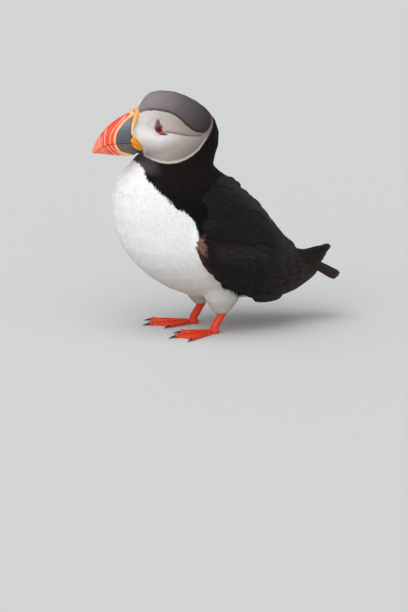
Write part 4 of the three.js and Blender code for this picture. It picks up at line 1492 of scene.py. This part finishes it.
def ahead_of(points, line):
    """How far forward of a line of (height, forward) pairs each point is."""
    heights, forwards = zip(*line)
    reach = curve(np.array([heights, forwards]).T, 60)
    order = np.argsort(reach[:, 0])
    forward = np.interp(points[:, 2], reach[order, 0], reach[order, 1])
    slope = np.gradient(reach[order, 1], reach[order, 0])
    tilt = np.interp(points[:, 2], reach[order, 0], slope)
    return (-points[:, 1] - forward) / np.sqrt(1 + tilt**2)


def stripe(distance, half, soft):
    """1 within half of a line, falling to 0 over a narrow soft edge."""
    return ramp(half + soft, half - soft, np.abs(distance))


def bill_look(points):
    """The bill's tint and its relief in millimetres at each point."""
    look = chosen("bill")
    forward, height = side_view(points)
    out = np.abs(points[:, 0])
    mouth = np.interp(forward, *zip(*MOUTH_HEIGHTS))
    from_ridge = ahead_of(points, BILL_RIDGE_LINE)
    grooves = [ahead_of(points, line) for line in BILL_GROOVES]
    plate = blend(look.slate, look.slate_pale, ramp(152, 164, height))
    plate = blend(plate, look.slate_low, ramp(1.0, -0.3, height - mouth))
    streaks = speckle(points * [1, 0.35, 2.2], 1.6)
    plate = plate * (1 + 0.12 * streaks)[:, None]
    red = blend(look.flame, look.scarlet, ramp(-1.0, 1.0, grooves[0]))
    red = blend(red, look.coral, ramp(0, 3, grooves[1]) * (0.75 + 0.25 * speckle(points, 5.0)))
    red = red * (1 + 0.08 * speckle(points * [1, 0.5, 0.5], 2.2, 3.0))[:, None]
    red = blend(red, look.tip, ramp(86, 92, forward))
    at_keel = ramp(140.8, 138.8, height + 0.1 * (80 - forward)) * ramp(90, 84, forward)
    red = blend(red, look.peach, 0.75 * at_keel)
    tint = blend(plate, red, ramp(-0.1, 0.1, from_ridge))
    beside_crest = ramp(0.6, 2.6, out)
    relief = 0.4 * bell(from_ridge, 0.8) * beside_crest
    for groove, share in zip(grooves, [1.0, 1.0, 0.5]):
        line = stripe(groove, 0.3, 0.14) * share
        tint = blend(tint, look.groove, 0.9 * line)
        tint = blend(tint, 0.75 * np.array(look.flame), 0.5 * share * stripe(groove - 0.75, 0.25, 0.2))
        shape = 0.22 * bell(np.abs(groove) - 1.0, 0.55) - 0.34 * line
        relief = relief + share * shape * (0.3 + 0.7 * beside_crest)
    tint = blend(tint, look.peach, stripe(from_ridge, 0.78, 0.16))
    tint = blend(tint, look.peach_deep, 0.6 * stripe(from_ridge + 0.75, 0.14, 0.12))
    lip = stripe(height - mouth, 0.22, 0.2) * ramp(60, 64, forward)
    tint = blend(tint, rgb(70, 40, 36), 0.45 * lip)
    nostril = stripe(height - mouth - 1.7, 0.2, 0.15)
    nostril = nostril * ramp(65.5, 67, forward) * ramp(73.5, 72, forward)
    relief = relief * (1 - 0.9 * bell(height - mouth, 0.9)) - 0.35 * nostril
    tint = blend(tint, rgb(44, 46, 56), 0.55 * nostril)
    crest = ramp(1.7, 0.7, out) * ramp(150, 156, height)
    tint = blend(tint, 0.85 * np.array(look.scarlet), crest * ramp(62, 66, forward))
    relief = relief + 0.02 * speckle(points, 0.9) + 0.02 * streaks
    return np.clip(tint, 0, 1), relief


@lru_cache
def horn_finish(name, roughness, coat):
    """Polished horn: the painted tint, fine growth lines and a worn gloss."""
    finish = Finish(name, **{"Coat Weight": coat, "Coat Roughness": 0.25, "Specular IOR Level": 0.5})
    scratches = finish.noise(700.0, 4.0)
    finish.shade(finish.tint(), 0.9 + finish.noise(180.0) * 0.2)
    finish.set("Roughness", roughness - 0.08 + scratches * 0.16)
    finish.bump(scratches + finish.noise(2200.0) * 0.3, 0.25, 0.08)
    return finish.material


def make_bill():
    """Upper and lower bill, with the raised pale ridge, the grooves and the slate base."""
    for node in ("bill_upper", "bill_lower"):
        points, corners = remeshed([node], 0.22, 30)
        points[:, 1] = np.minimum(points[:, 1], 0.6 - bill_root(points))
        tint, relief = bill_look(points)
        points = points + vertex_normals(points, corners) * relief[:, None]
        finish = horn_finish("bill_horn", 0.36, 0.2)
        add_piece(node + "_horn", points, corners, finish, tint, "bill_horn", node)


BAND_TOP_WIDER = 1.7


def make_band():
    """The pale band round the bill's root, pitted with tiny pores."""
    look = chosen("bill")
    points, corners = remeshed(["bill_band"], 0.26, 40)
    normals = vertex_normals(points, corners)
    pores = ramp(0.25, 0.6, speckle(points, 0.55, 2.0))
    points = points - normals * (0.12 * pores)[:, None] + normals * 0.08 * speckle(points, 2.0)[:, None]
    points[:, 1] += BAND_TOP_WIDER * ramp(158, 168, points[:, 2]) * ramp(0.1, 0.8, normals[:, 1])
    tint = blend(look.band, look.band_top, ramp(160, 168, points[:, 2]))
    tint = blend(tint, look.band_edge, 0.5 * pores)
    rims = ramp(0.75, 0.35, np.abs(normals[:, 0])) * ramp(169, 165, points[:, 2])
    tint = blend(tint, look.band_edge, 0.6 * rims)
    finish = horn_finish("bill_band", 0.5, 0.05)
    add_piece("bill_root_band", points, corners, finish, tint, "bill_band", "bill_band")


ROSETTE = place(60.4, 147, 7.6)
ROSETTE_LONG = unit(place(-math.cos(math.radians(42)), -math.sin(math.radians(42))))
ROSETTE_ACROSS = np.cross(ROSETTE_LONG, LEFT)


def fleshy_finish(name, roughness):
    finish = Finish(name, **{"Roughness": roughness, "Subsurface Weight": 0.08, "Subsurface Scale": 0.001})
    grain = finish.noise(1500.0, 3.0)
    finish.shade(finish.tint(), 0.88 + grain * 0.22)
    finish.bump(grain, 0.35, 0.12)
    return finish.material


def make_rosettes():
    """The wrinkled orange skin at the corners of the mouth, folded along its length."""
    look = chosen("bill")
    finish = fleshy_finish("gape_rosette", 0.5)
    for hand, side in SIDES.items():
        node = f"gape_rosette_{hand}"
        points, corners = remeshed([node], 0.22, 20)
        local = (points - ROSETTE * [side, 1, 1]) * [side, 1, 1]
        along, across = local @ ROSETTE_LONG, local @ ROSETTE_ACROSS
        taper = 1 + 0.10 * along
        folds = np.cos(across * taper * 2.6 + 0.5 * speckle(points, 3.0))
        folds = folds * ramp(-6.5, -4, -np.abs(along))
        split = bell(across, 0.3) * ramp(3.5, 0.5, along)
        normals = vertex_normals(points, corners)
        points = points + normals * (0.35 + 0.2 * folds - 0.45 * split)[:, None]
        points = points + (ROSETTE_LONG * [side, 1, 1]) * (0.10 * along + 0.4)[:, None]
        # Painted shade in the valleys of the folds and along the split.
        deep = np.clip(0.5 - 0.5 * folds, 0, 1) ** 2 * 0.8 + 0.8 * split
        tint = blend(look.rosette, look.rosette_fold_shade, np.clip(deep, 0, 1))
        add_piece(f"rosette_{hand}", points, corners, finish, tint, "gape_rosette", node)


# -------------------- eyes

LID_ACROSS, LID_HIGH = 2.0, 2.75
LID_THICKNESS = 0.5
REAR_CORNER = math.radians(-36)  # where the lids run out to the rear, below level


def by_eye(back, up, out, side):
    """Points by an eye, from how far behind, above and out from its opening they are."""
    spots = EYE_MIDDLE + back[..., None] * EYE_BACK + up[..., None] * EYE_UP + out[..., None] * EYE_OUT
    return spots.reshape(-1, 3) * [side, 1, 1]


def ring_faces(rows, around, closed_rows=False):
    """Triangles between rows of points that each run round a loop."""
    row, column = np.meshgrid(np.arange(rows if closed_rows else rows - 1), np.arange(around), indexing="ij")
    following, below = (column + 1) % around, (row + 1) % rows
    pairs = [(row, column), (row, following), (below, following), (below, column)]
    a, b, c, d = ((level * around + step).ravel() for level, step in pairs)
    return np.concatenate([np.stack([a, b, c], 1), np.stack([a, c, d], 1)])


def capped(points, rows, around):
    """Triangles of a closed form whose first and last rows shrink to a point."""
    faces = ring_faces(rows, around)
    column = np.arange(around)
    points = np.concatenate([points, [points[:around].mean(0), points[-around:].mean(0)]])
    first, last = len(points) - 2, len(points) - 1
    start = (rows - 1) * around
    ends = [np.stack([np.full(around, first), (column + 1) % around, column], 1),
            np.stack([np.full(around, last), start + column, start + (column + 1) % around], 1)]
    return outward(points, np.concatenate([faces, *ends]))


def outward(points, faces):
    """The form with its faces turned to point outwards."""
    middle = points.mean(0)
    a, b, c = (points[faces[:, k]] - middle for k in range(3))
    volume = np.einsum("ij,ij->i", a, np.cross(b, c)).sum()
    return points, (faces if volume > 0 else faces[:, ::-1])


def wet_finish(name, roughness):
    finish = Finish(name, **{"Coat Weight": 0.35, "Coat Roughness": 0.03, "Specular IOR Level": 0.25})
    finish.shade(finish.tint(), 0.85 + finish.noise(2500.0) * 0.3)
    finish.set("Roughness", roughness + finish.noise(1200.0) * 0.05)
    return finish.material


def make_eyeballs():
    """Dark wet eyes: a black pupil in a deep brown iris, the cornea raised."""
    look = chosen("eye")
    finish = wet_finish("eye", 0.12)
    rows, around = 46, 48
    angle = np.linspace(0.01, math.pi - 0.01, rows)[:, None]
    turn = turns(around)[None]
    ball, pupil, iris = look.radius / MM, look.pupil / MM, look.iris / MM
    radius = ball + 0.22 * np.exp(-((np.sin(angle) * ball / 2.0) ** 4)) * (angle < 1.5)
    flat = radius * np.sin(angle)
    for hand, side in SIDES.items():
        points = by_eye(flat * np.cos(turn), 1.0 + flat * np.sin(turn) - 0.9 * np.cos(angle) * (angle < 1.6),
                        radius * np.cos(angle) * np.ones_like(turn), side)
        points, faces = capped(points, rows, around)
        from_axis = np.append(np.broadcast_to(flat + 9 * (angle > 1.5), (rows, around)).ravel(), [0, 9])
        tint = blend(rgb(6, 4, 4), rgb(38, 23, 18), ramp(pupil - 0.1, pupil + 0.1, from_axis))
        tint = blend(tint, rgb(10, 7, 7), ramp(iris - 0.3, iris + 0.1, from_axis))
        add_piece(f"eyeball_{hand}", points, faces, finish, tint, "eye", f"eye_{hand}")


LID_TURNS, LID_SECTION = 120, 18


@lru_cache
def lids(side):
    """The fleshy ring round the eye, drawn out to a point at the rear corner."""
    turn = turns(LID_TURNS)[:, None]
    section = turns(LID_SECTION)[None]
    corner = bell(np.angle(np.exp(1j * (turn - REAR_CORNER))), 0.36)
    below = np.clip(-np.sin(turn), 0, 1)
    thick = LID_THICKNESS * (1 + 0.06 * np.sin(29 * turn) + 0.5 * corner + 0.25 * below)
    grow = thick * np.cos(section) + 1.9 * corner * (1 + 0.4 * np.cos(section))
    back = (LID_ACROSS + grow) * np.cos(turn)
    up = (LID_HIGH + grow) * np.sin(turn)
    out = 2.95 - 0.35 * corner + 0.9 * thick * np.sin(section) * (1 + 0.1 * np.sin(2 * section + 29 * turn))
    return outward(by_eye(back, up, out, side), ring_faces(LID_TURNS, LID_SECTION, closed_rows=True))


def make_lids():
    look = chosen("eye")
    finish = fleshy_finish("eye_ring", 0.45)
    section = turns(LID_SECTION)
    rim = np.tile(ramp(0.2, 0.95, np.abs(np.cos(section))), LID_TURNS)
    inner = np.tile(ramp(0.2, 0.9, -np.cos(section)), LID_TURNS)
    for hand, side in SIDES.items():
        # Painted shade: both flanks of the ring darken, the inner one next to the eyeball most.
        tint = blend(look.lid_red, look.lid_shade, np.clip(0.3 * rim + 0.5 * inner, 0, 1))
        add_piece(f"lids_{hand}", *lids(side), finish, tint, "eye_ring", f"eye_ring_{hand}")


def plate(middle, half, slant, pinch, side):
    """A domed plate on the skin by the eye. Middle and half sizes are (back, up) pairs."""
    rows, dome, around, far = 14, 8, 40, 12.0  # of its rows, the first ones make the dome
    share = np.concatenate([np.linspace(0.08, 1, dome), np.linspace(0.94, 0.1, rows - dome)])[:, None]
    above = (np.arange(rows) < dome)[:, None]
    turn = turns(around)[None]
    across, high = (np.sign(wave) * np.abs(wave) ** 0.8 for wave in (np.cos(turn), np.sin(turn)))
    back = middle[0] + share * half[0] * across * (1 - pinch * (high + 1) / 2)
    up = middle[1] + share * half[1] * high + slant * share * half[0] * across
    starts = by_eye(back, up, np.full(back.shape, far), side)
    away = Vector(-EYE_OUT * [side, 1, 1])
    places, _, _ = skin_surface().seen_from(starts, away)
    out = far - size(places - starts).reshape(back.shape)
    flat = np.median(out[:dome]) * 0.5 + out * 0.5
    rise = np.where(above, 0.55 * np.sqrt(np.clip(1.02 - share**2, 0, 1)) + 0.2, -0.4)
    return capped(by_eye(back, up, flat + rise + 0.15, side), rows, around)


@lru_cache
def upper_plate(side):
    return plate((-0.35, 4.7), (1.9, 2.3), -0.1, 0.35, side)


@lru_cache
def lower_plate(side):
    return plate((3.6, -3.9), (3.2, 0.6), -0.02, 0.0, side)


def make_eye_plates():
    """The small horny plates above and below each eye, lightly ridged."""
    look = chosen("eye")
    finish = fleshy_finish("eye_plate", 0.6)
    for hand, side in SIDES.items():
        pair = (("upper", upper_plate, look.plate_slate), ("lower", lower_plate, look.plate_dark))
        for where, shape, tone in pair:
            points, faces = shape(side)
            grain = speckle(points, 0.5)
            low = ramp(EYE_MIDDLE[2] + 5.0, EYE_MIDDLE[2] + 2.5, points[:, 2])
            tint = blend(tone, look.plate_dark, np.clip(0.35 * grain + 0.7 * low, 0, 1))
            name, node = f"plate_{where}_{hand}", f"eye_plate_{where}_{hand}"
            add_piece(name, points, faces, finish, tint, "eye_plate", node)


# -------------------- legs and feet

TOE_JOINT, LEG_SPREAD = 3.0, 20.0
TOES = {"inner": (-21, 25.0), "middle": (8, 34.0), "outer": (36, 32.5)}  # degrees outwards, and length
TOE_TIP = 1.65  # radius of the pad at a toe's tip
CLAW_ROOT, CLAW_LENGTH, CLAW_RADIUS, CLAW_DROP = 2.3, 7.9, 1.25, 1.3
SHANK_FRONT = (4.8, 17.5)  # heights between which scutes run down the shank


def toe_axis(name, side):
    """Where a toe starts, the way it points, the way across it and its length."""
    angle, length = TOES[name]
    turn = math.radians(angle)
    ahead = place(math.cos(turn), 0, side * math.sin(turn))
    return place(TOE_JOINT, 0, side * LEG_SPREAD), ahead, np.array([-ahead[1], ahead[0], 0]), length


def from_toes(points, side):
    """How far each point is from the middle line of the nearest toe."""
    nearest = np.full(len(points), 99.0)
    for name in TOES:
        root, ahead, across, length = toe_axis(name, side)
        off = np.abs((points - root) @ across) + 9 * ((points - root) @ ahead > length + 2)
        nearest = np.minimum(nearest, off)
    return nearest


def toe_tip(name, side):
    """The round pad at a toe's tip, which holds the root of the claw."""
    root, ahead, _, length = toe_axis(name, side)
    rows, around = 8, 12
    angle = np.linspace(0.1, math.pi - 0.1, rows)[:, None]
    turn = turns(around)[None]
    flat, high = np.sin(angle), np.cos(angle) * np.ones_like(turn)
    ball = np.stack([flat * np.cos(turn), flat * np.sin(turn), high], -1)
    middle = root + ahead * (length - TOE_TIP) + place(0, TOE_TIP - 0.1)
    return capped((middle + ball * [TOE_TIP, TOE_TIP, TOE_TIP * 0.95]).reshape(-1, 3), rows, around)


def foot_finish():
    """Damp orange-red skin with a net of small scales."""
    finish = Finish("leg_skin", **{"Subsurface Weight": 0.06, "Subsurface Scale": 0.001, "Coat Weight": 0.1,
                                   "Coat Roughness": 0.3})
    net = finish.cell_edges(1150.0)
    edge = 1.0 - (net * 9.0).clamped()
    finish.shade(finish.tint(), 1.02 - edge * 0.18 + finish.noise(300.0) * 0.1 - 0.05)
    finish.set("Roughness", 0.42 + edge * 0.2)
    finish.bump(1.0 - edge, 0.45, 0.12)
    return finish.material


def leg_nodes(hand):
    """The solids that a leg's skin stands for."""
    return [f"foot_{hand}", f"shank_{hand}"]


@lru_cache
def leg_surface(hand):
    """Shank and webbed foot as one skin."""
    side = SIDES[hand]
    tips = [toe_tip(name, side) for name in TOES]
    points, corners = remeshed(leg_nodes(hand), 0.32, 14, SWELL, tips)
    points = points - vertex_normals(points, corners) * SWELL
    points[:, 2] = np.maximum(points[:, 2], 0)
    return Surface(points, corners)


def make_feet():
    """Legs with webbed feet, the web pleated between the toes."""
    look = chosen("leg")
    finish = foot_finish()
    for hand, side in SIDES.items():
        surface = leg_surface(hand)
        points, corners = surface.points, surface.corners
        off = from_toes(points, side)
        normals = vertex_normals(points, corners)
        low = points[:, 2] < 4
        web = ramp(1.8, 3.2, off) * ramp(0.2, 0.7, np.abs(normals[:, 2])) * low
        root = place(TOE_JOINT, 0, side * LEG_SPREAD)
        pleats = np.sin(1.3 * size((points - root)[:, :2]) + speckle(points, 6.0))
        points = points + normals * (0.09 * web * pleats)[:, None]
        points[:, 2] = np.maximum(points[:, 2], 0)
        tint = blend(look.orange, look.web, web)
        # Painted shade in the hollows of the web's pleats.
        tint = blend(tint, look.deep, 0.35 * web * ramp(0.3, 0.9, -pleats))
        # Painted shade on the rear of the shank, the side turned away from the lamps.
        tint = blend(tint, look.deep, 0.35 * ramp(0.2, -0.8, -normals[:, 1]) * ~low)
        add_piece(f"leg_{hand}", points, corners, finish, tint, "leg_skin", *leg_nodes(hand))


def scute_paths(hand):
    """Lines over toes and shank: places, the way each faces, its share of full width."""
    side, surface = SIDES[hand], leg_surface(hand)
    for name in TOES:
        root, ahead, _, length = toe_axis(name, side)
        reach = np.linspace(4.2, length - 1.2, 30)
        starts = root + ahead * reach[:, None] + place(0, 12)
        places, facing, _ = surface.seen_from(starts, (0, 0, -1))
        facing = unit(facing * 0.3 + UP)
        yield smooth_line(places), facing, np.interp(reach, [0, length], [1.0, 0.72])
    height = np.linspace(*SHANK_FRONT, 30)[::-1]
    starts = np.stack([np.full(30, side * LEG_SPREAD), np.full(30, -40.0), height], 1)
    places, facing, _ = surface.seen_from(starts, (0, 1, 0))
    places = smooth_line(places)
    along = unit(np.gradient(places, axis=0))
    facing = unit(place(1, 0) - along * (along @ place(1, 0))[:, None])
    yield places, facing, np.interp(height, SHANK_FRONT, [1.1, 0.95])


def smooth_line(places):
    for _ in range(3):
        places = np.concatenate([places[:1], (places[:-2] + 2 * places[1:-1] + places[2:]) / 4, places[-1:]])
    return places


def scute_tree():
    """Geometry nodes that lay overlapping scutes along the edges of a mesh."""
    tree = bpy.data.node_groups.new("scutes", "GeometryNodeTree")
    sockets = [("Spacing", "NodeSocketFloat"), ("Length", "NodeSocketFloat"), ("Width", "NodeSocketFloat"),
               ("Height", "NodeSocketFloat"), ("Material", "NodeSocketMaterial")]
    for name, kind in [("Geometry", "NodeSocketGeometry"), *sockets]:
        tree.interface.new_socket(name, in_out="INPUT", socket_type=kind)
    tree.interface.new_socket("Geometry", in_out="OUTPUT", socket_type="NodeSocketGeometry")

    node = partial(add_node, tree)
    given = node("NodeGroupInput").outputs
    lines = node("GeometryNodeMeshToCurve", {"Mesh": given["Geometry"]})
    steps = node("GeometryNodeResampleCurve", {"Curve": lines, "Length": given["Spacing"]}, mode="LENGTH")
    facing = node("GeometryNodeInputNamedAttribute", {"Name": "Facing"}, data_type="FLOAT_VECTOR")
    share = node("GeometryNodeInputNamedAttribute", {"Name": "Share"}, data_type="FLOAT")
    tangent = node("GeometryNodeInputTangent")
    upright = node("FunctionNodeAlignRotationToVector", {"Vector": facing}, axis="Z")
    turned = node("FunctionNodeAlignRotationToVector", {"Rotation": upright, "Vector": tangent},
                  axis="X", pivot_axis="Z")
    vary = node("FunctionNodeRandomValue", {2: 0.92, 3: 1.08, 8: 7}, data_type="FLOAT")
    wide = node("ShaderNodeMath", {0: given["Width"], 1: share}, operation="MULTIPLY")
    long = node("ShaderNodeMath", {0: given["Length"], 1: vary.outputs[1]}, operation="MULTIPLY")
    measures = node("ShaderNodeCombineXYZ", {0: long, 1: wide, 2: given["Height"]})
    scute = node("GeometryNodeMeshUVSphere", {"Segments": 10, "Rings": 6, "Radius": 0.5})
    laid = node("GeometryNodeInstanceOnPoints",
                {"Points": steps, "Instance": scute, "Rotation": turned, "Scale": measures})
    smooth = node("GeometryNodeSetShadeSmooth", {"Geometry": laid})
    real = node("GeometryNodeRealizeInstances", {"Geometry": smooth})
    finished = node("GeometryNodeSetMaterial", {"Geometry": real, "Material": given["Material"]})
    node("NodeGroupOutput", {0: finished})
    return tree


def make_scutes():
    """The larger plates in a row over each toe and down the front of each shank."""
    look = chosen("leg")
    tree = scute_tree()
    identifiers = {item.name: item.identifier for item in tree.interface.items_tree if item.in_out == "INPUT"}
    finish = fleshy_finish("leg_scute", 0.4)
    for hand in SIDES:
        places, facing, shares, edges = [], [], [], []
        for line, normals, share in scute_paths(hand):
            edges += [(len(places) + k, len(places) + k + 1) for k in range(len(line) - 1)]
            places += to_metres(line - 0.05 * normals).tolist()
            facing += normals.tolist()
            shares += share.tolist()
        mesh = bpy.data.meshes.new("lines")
        mesh.from_pydata(places, edges, [])
        mesh.attributes.new("Facing", "FLOAT_VECTOR", "POINT").data.foreach_set("vector", np.ravel(facing))
        mesh.attributes.new("Share", "FLOAT", "POINT").data.foreach_set("value", shares)
        lines = add_object("lines", mesh)
        nodes = lines.modifiers.new("Scutes", "NODES")
        nodes.node_group = tree
        for name in ("Spacing", "Length", "Width", "Height"):
            nodes[identifiers[name]] = getattr(look, "scute_" + name.lower())
        nodes[identifiers["Material"]] = finish
        evaluated = lines.evaluated_get(bpy.context.evaluated_depsgraph_get())
        plates = bpy.data.meshes.new_from_object(evaluated)
        lines.modifiers.remove(nodes)
        bpy.data.objects.remove(lines)
        points, corners = arrays(plates)
        bpy.data.meshes.remove(plates)
        shade = speckle(points, 2.5, 9.0)
        tint = blend(look.orange, look.deep, np.clip(0.16 + 0.3 * shade, 0, 1))
        add_piece(f"scutes_{hand}", points, corners, finish, tint, "leg_skin")


def make_claws():
    """Black curved claws, smooth and glossy."""
    finish = horn_finish("claw", 0.3, 0.4)
    rows, around = 26, 20
    u = np.linspace(0, 1, rows)[:, None]
    turn = turns(around)[None]
    radius = CLAW_RADIUS * (1.0 - u) ** 0.72 * np.minimum(1, 8 * u + 0.02) ** 0.5 + 0.02
    for hand, side in SIDES.items():
        for toe in TOES:
            root, ahead, across, length = toe_axis(toe, side)
            reach = length - CLAW_ROOT + CLAW_LENGTH * u[..., None]
            lift = 0.3 + CLAW_DROP * (1 - u**1.8) + radius * np.cos(turn)
            spots = root + ahead * reach + across * (0.78 * radius * np.sin(turn))[..., None]
            spots = spots + UP * lift[..., None]
            points, faces = capped(spots.reshape(-1, 3), rows, around)
            points[:, 2] = np.maximum(points[:, 2], 0.12)
            tint = np.array(chosen("leg").claw) * (1 + 0.2 * speckle(points, 1.0))[:, None]
            name, node = f"nail_{toe}_{hand}", f"claw_{toe}_{hand}"
            add_piece(name, points, faces, finish, tint, "claw", node)


# -------------------- stage

LOOK_FROM = (67.0, 12.0)  # degrees round the bird and above the floor
CAMERA_AWAY = 12000.0
CAMERA_TARGET = place(2.4, 17.0)
SENSOR = 36.0


def make_camera():
    azimuth, elevation = (math.radians(angle) for angle in LOOK_FROM)
    level = math.cos(elevation)
    back = Vector((math.sin(azimuth) * level, -math.cos(azimuth) * level, math.sin(elevation)))
    data = bpy.data.cameras.new("camera")
    data.sensor_width = SENSOR
    data.lens = chosen("stage").lens
    camera = add_object("camera", data)
    target = Vector(to_metres(CAMERA_TARGET[None])[0])
    camera.location = target + back * CAMERA_AWAY * MM
    camera.rotation_mode = "QUATERNION"
    camera.rotation_quaternion = (-back).to_track_quat("-Z", "Y")
    data.clip_start, data.clip_end = 0.1, 200.0
    bpy.context.scene.camera = camera


def add_lamp(name, toward, softness, strength):
    """A soft distant lamp that shines from a direction given as (forward, height, left)."""
    data = bpy.data.lights.new(name, "SUN")
    data.angle = math.radians(softness)
    data.energy = strength
    lamp = add_object(name, data)
    direction = Vector(place(*toward)).normalized()
    lamp.rotation_mode = "QUATERNION"
    lamp.rotation_quaternion = direction.to_track_quat("Z", "Y")


def floor_finish():
    finish = Finish("floor", **{"Base Color": (*chosen("stage").floor, 1.0), "Specular IOR Level": 0.1})
    finish.set("Roughness", 0.88 + finish.noise(40.0) * 0.06)
    return finish.material


def make_stage():
    scene = bpy.context.scene
    stage = chosen("stage")
    scene.view_settings.view_transform = "Standard"
    turn = turns(64)
    rim = np.stack([np.cos(turn), np.sin(turn), np.zeros(64)], 1) * (stage.floor_radius / MM)
    floor = build("floor", rim, np.arange(64)[None], floor_finish())
    floor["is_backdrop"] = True
    add_lamp("sky", (45, 100, 40), 70, stage.sky_light)
    add_lamp("front", (80, 40, 90), 60, stage.front_light)
    world = bpy.data.worlds.new("world")
    scene.world = world
    world.use_nodes = True
    background = world.node_tree.nodes["Background"].inputs
    background[0].default_value = (0.92, 0.96, 1.0, 1.0)
    background[1].default_value = stage.world_light
    make_camera()


# -------------------- add-on


class PUFFIN_OT_stage(bpy.types.Operator):
    """Lay the floor and set the lamps, the world and the camera"""

    bl_idname = "puffin.stage"
    bl_label = "Stage"

    def execute(self, context):
        make_stage()
        return {"FINISHED"}


class PUFFIN_OT_skin(bpy.types.Operator):
    """Build the one skin under the whole coat"""

    bl_idname = "puffin.skin"
    bl_label = "Skin"

    def execute(self, context):
        make_skin()
        return {"FINISHED"}


class PUFFIN_OT_coat(bpy.types.Operator):
    """Cover head, neck, trunk and thighs with small feathers"""

    bl_idname = "puffin.coat"
    bl_label = "Body Coat"

    def execute(self, context):
        for number, region in enumerate(REGIONS):
            make_region(region, number)
        return {"FINISHED"}


class PUFFIN_OT_coverts(bpy.types.Operator):
    """Lay the small feathers of both wings and their wrists"""

    bl_idname = "puffin.coverts"
    bl_label = "Wing Coverts"

    def execute(self, context):
        make_coverts()
        make_wrist()
        return {"FINISHED"}


class PUFFIN_OT_flight_feathers(bpy.types.Operator):
    """Lay the secondaries and the long primaries"""

    bl_idname = "puffin.flight_feathers"
    bl_label = "Flight Feathers"

    def execute(self, context):
        make_secondaries()
        make_primaries()
        return {"FINISHED"}


class PUFFIN_OT_scapulars(bpy.types.Operator):
    """Lay the feathers of shoulder and back that fall over the wings"""

    bl_idname = "puffin.scapulars"
    bl_label = "Shoulder Feathers"

    def execute(self, context):
        make_scapulars()
        return {"FINISHED"}


class PUFFIN_OT_tail(bpy.types.Operator):
    """Lay the tail's rounded feathers"""

    bl_idname = "puffin.tail"
    bl_label = "Tail"

    def execute(self, context):
        make_tail()
        return {"FINISHED"}


class PUFFIN_OT_bill(bpy.types.Operator):
    """Build the grooved upper and lower bill"""

    bl_idname = "puffin.bill"
    bl_label = "Bill"

    def execute(self, context):
        make_bill()
        return {"FINISHED"}


class PUFFIN_OT_bill_root(bpy.types.Operator):
    """Build the band round the bill's root and the wrinkled rosettes"""

    bl_idname = "puffin.bill_root"
    bl_label = "Bill Band and Rosettes"

    def execute(self, context):
        make_band()
        make_rosettes()
        return {"FINISHED"}


class PUFFIN_OT_eyes(bpy.types.Operator):
    """Build the eyeballs, their lids and the horny plates"""

    bl_idname = "puffin.eyes"
    bl_label = "Eyes"

    def execute(self, context):
        make_eyeballs()
        make_lids()
        make_eye_plates()
        return {"FINISHED"}


class PUFFIN_OT_feet(bpy.types.Operator):
    """Build the legs with their webbed feet"""

    bl_idname = "puffin.feet"
    bl_label = "Feet"

    def execute(self, context):
        make_feet()
        return {"FINISHED"}


class PUFFIN_OT_scutes(bpy.types.Operator):
    """Lay rows of plates over the toes and down the shanks"""

    bl_idname = "puffin.scutes"
    bl_label = "Scutes"

    def execute(self, context):
        make_scutes()
        return {"FINISHED"}


class PUFFIN_OT_claws(bpy.types.Operator):
    """Build the six claws"""

    bl_idname = "puffin.claws"
    bl_label = "Claws"

    def execute(self, context):
        make_claws()
        return {"FINISHED"}


STEPS = [PUFFIN_OT_stage, PUFFIN_OT_skin, PUFFIN_OT_coat, PUFFIN_OT_coverts, PUFFIN_OT_flight_feathers,
         PUFFIN_OT_scapulars, PUFFIN_OT_tail, PUFFIN_OT_bill, PUFFIN_OT_bill_root, PUFFIN_OT_eyes,
         PUFFIN_OT_feet, PUFFIN_OT_scutes, PUFFIN_OT_claws]


class PUFFIN_PT_builder(bpy.types.Panel):
    """The puffin's settings, and the steps that build it in order"""

    bl_label = "Atlantic Puffin"
    bl_space_type = "VIEW_3D"
    bl_region_type = "UI"
    bl_category = "Puffin"

    def draw(self, context):
        for group, settings in SETTINGS.items():
            box = self.layout.box()
            box.label(text=group.capitalize())
            for name in settings.__annotations__:
                box.prop(getattr(context.scene, "puffin_" + group), name)
        for step in STEPS:
            self.layout.operator(step.bl_idname)


def register():
    for item in (*SETTINGS.values(), *STEPS, PUFFIN_PT_builder):
        bpy.utils.register_class(item)
    for group, settings in SETTINGS.items():
        setattr(bpy.types.Scene, "puffin_" + group, bpy.props.PointerProperty(type=settings))


def unregister():
    for group in SETTINGS:
        delattr(bpy.types.Scene, "puffin_" + group)
    for item in (PUFFIN_PT_builder, *reversed(STEPS), *SETTINGS.values()):
        bpy.utils.unregister_class(item)


def main():
    register()
    for step in STEPS:
        getattr(bpy.ops.puffin, step.bl_idname.partition(".")[2])()
    corners = {"cad": CAD_BOX, "visual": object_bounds()}
    {key: [list(corner) for corner in box] for key, box in corners.items()}


if __name__ == "__main__":
    main()
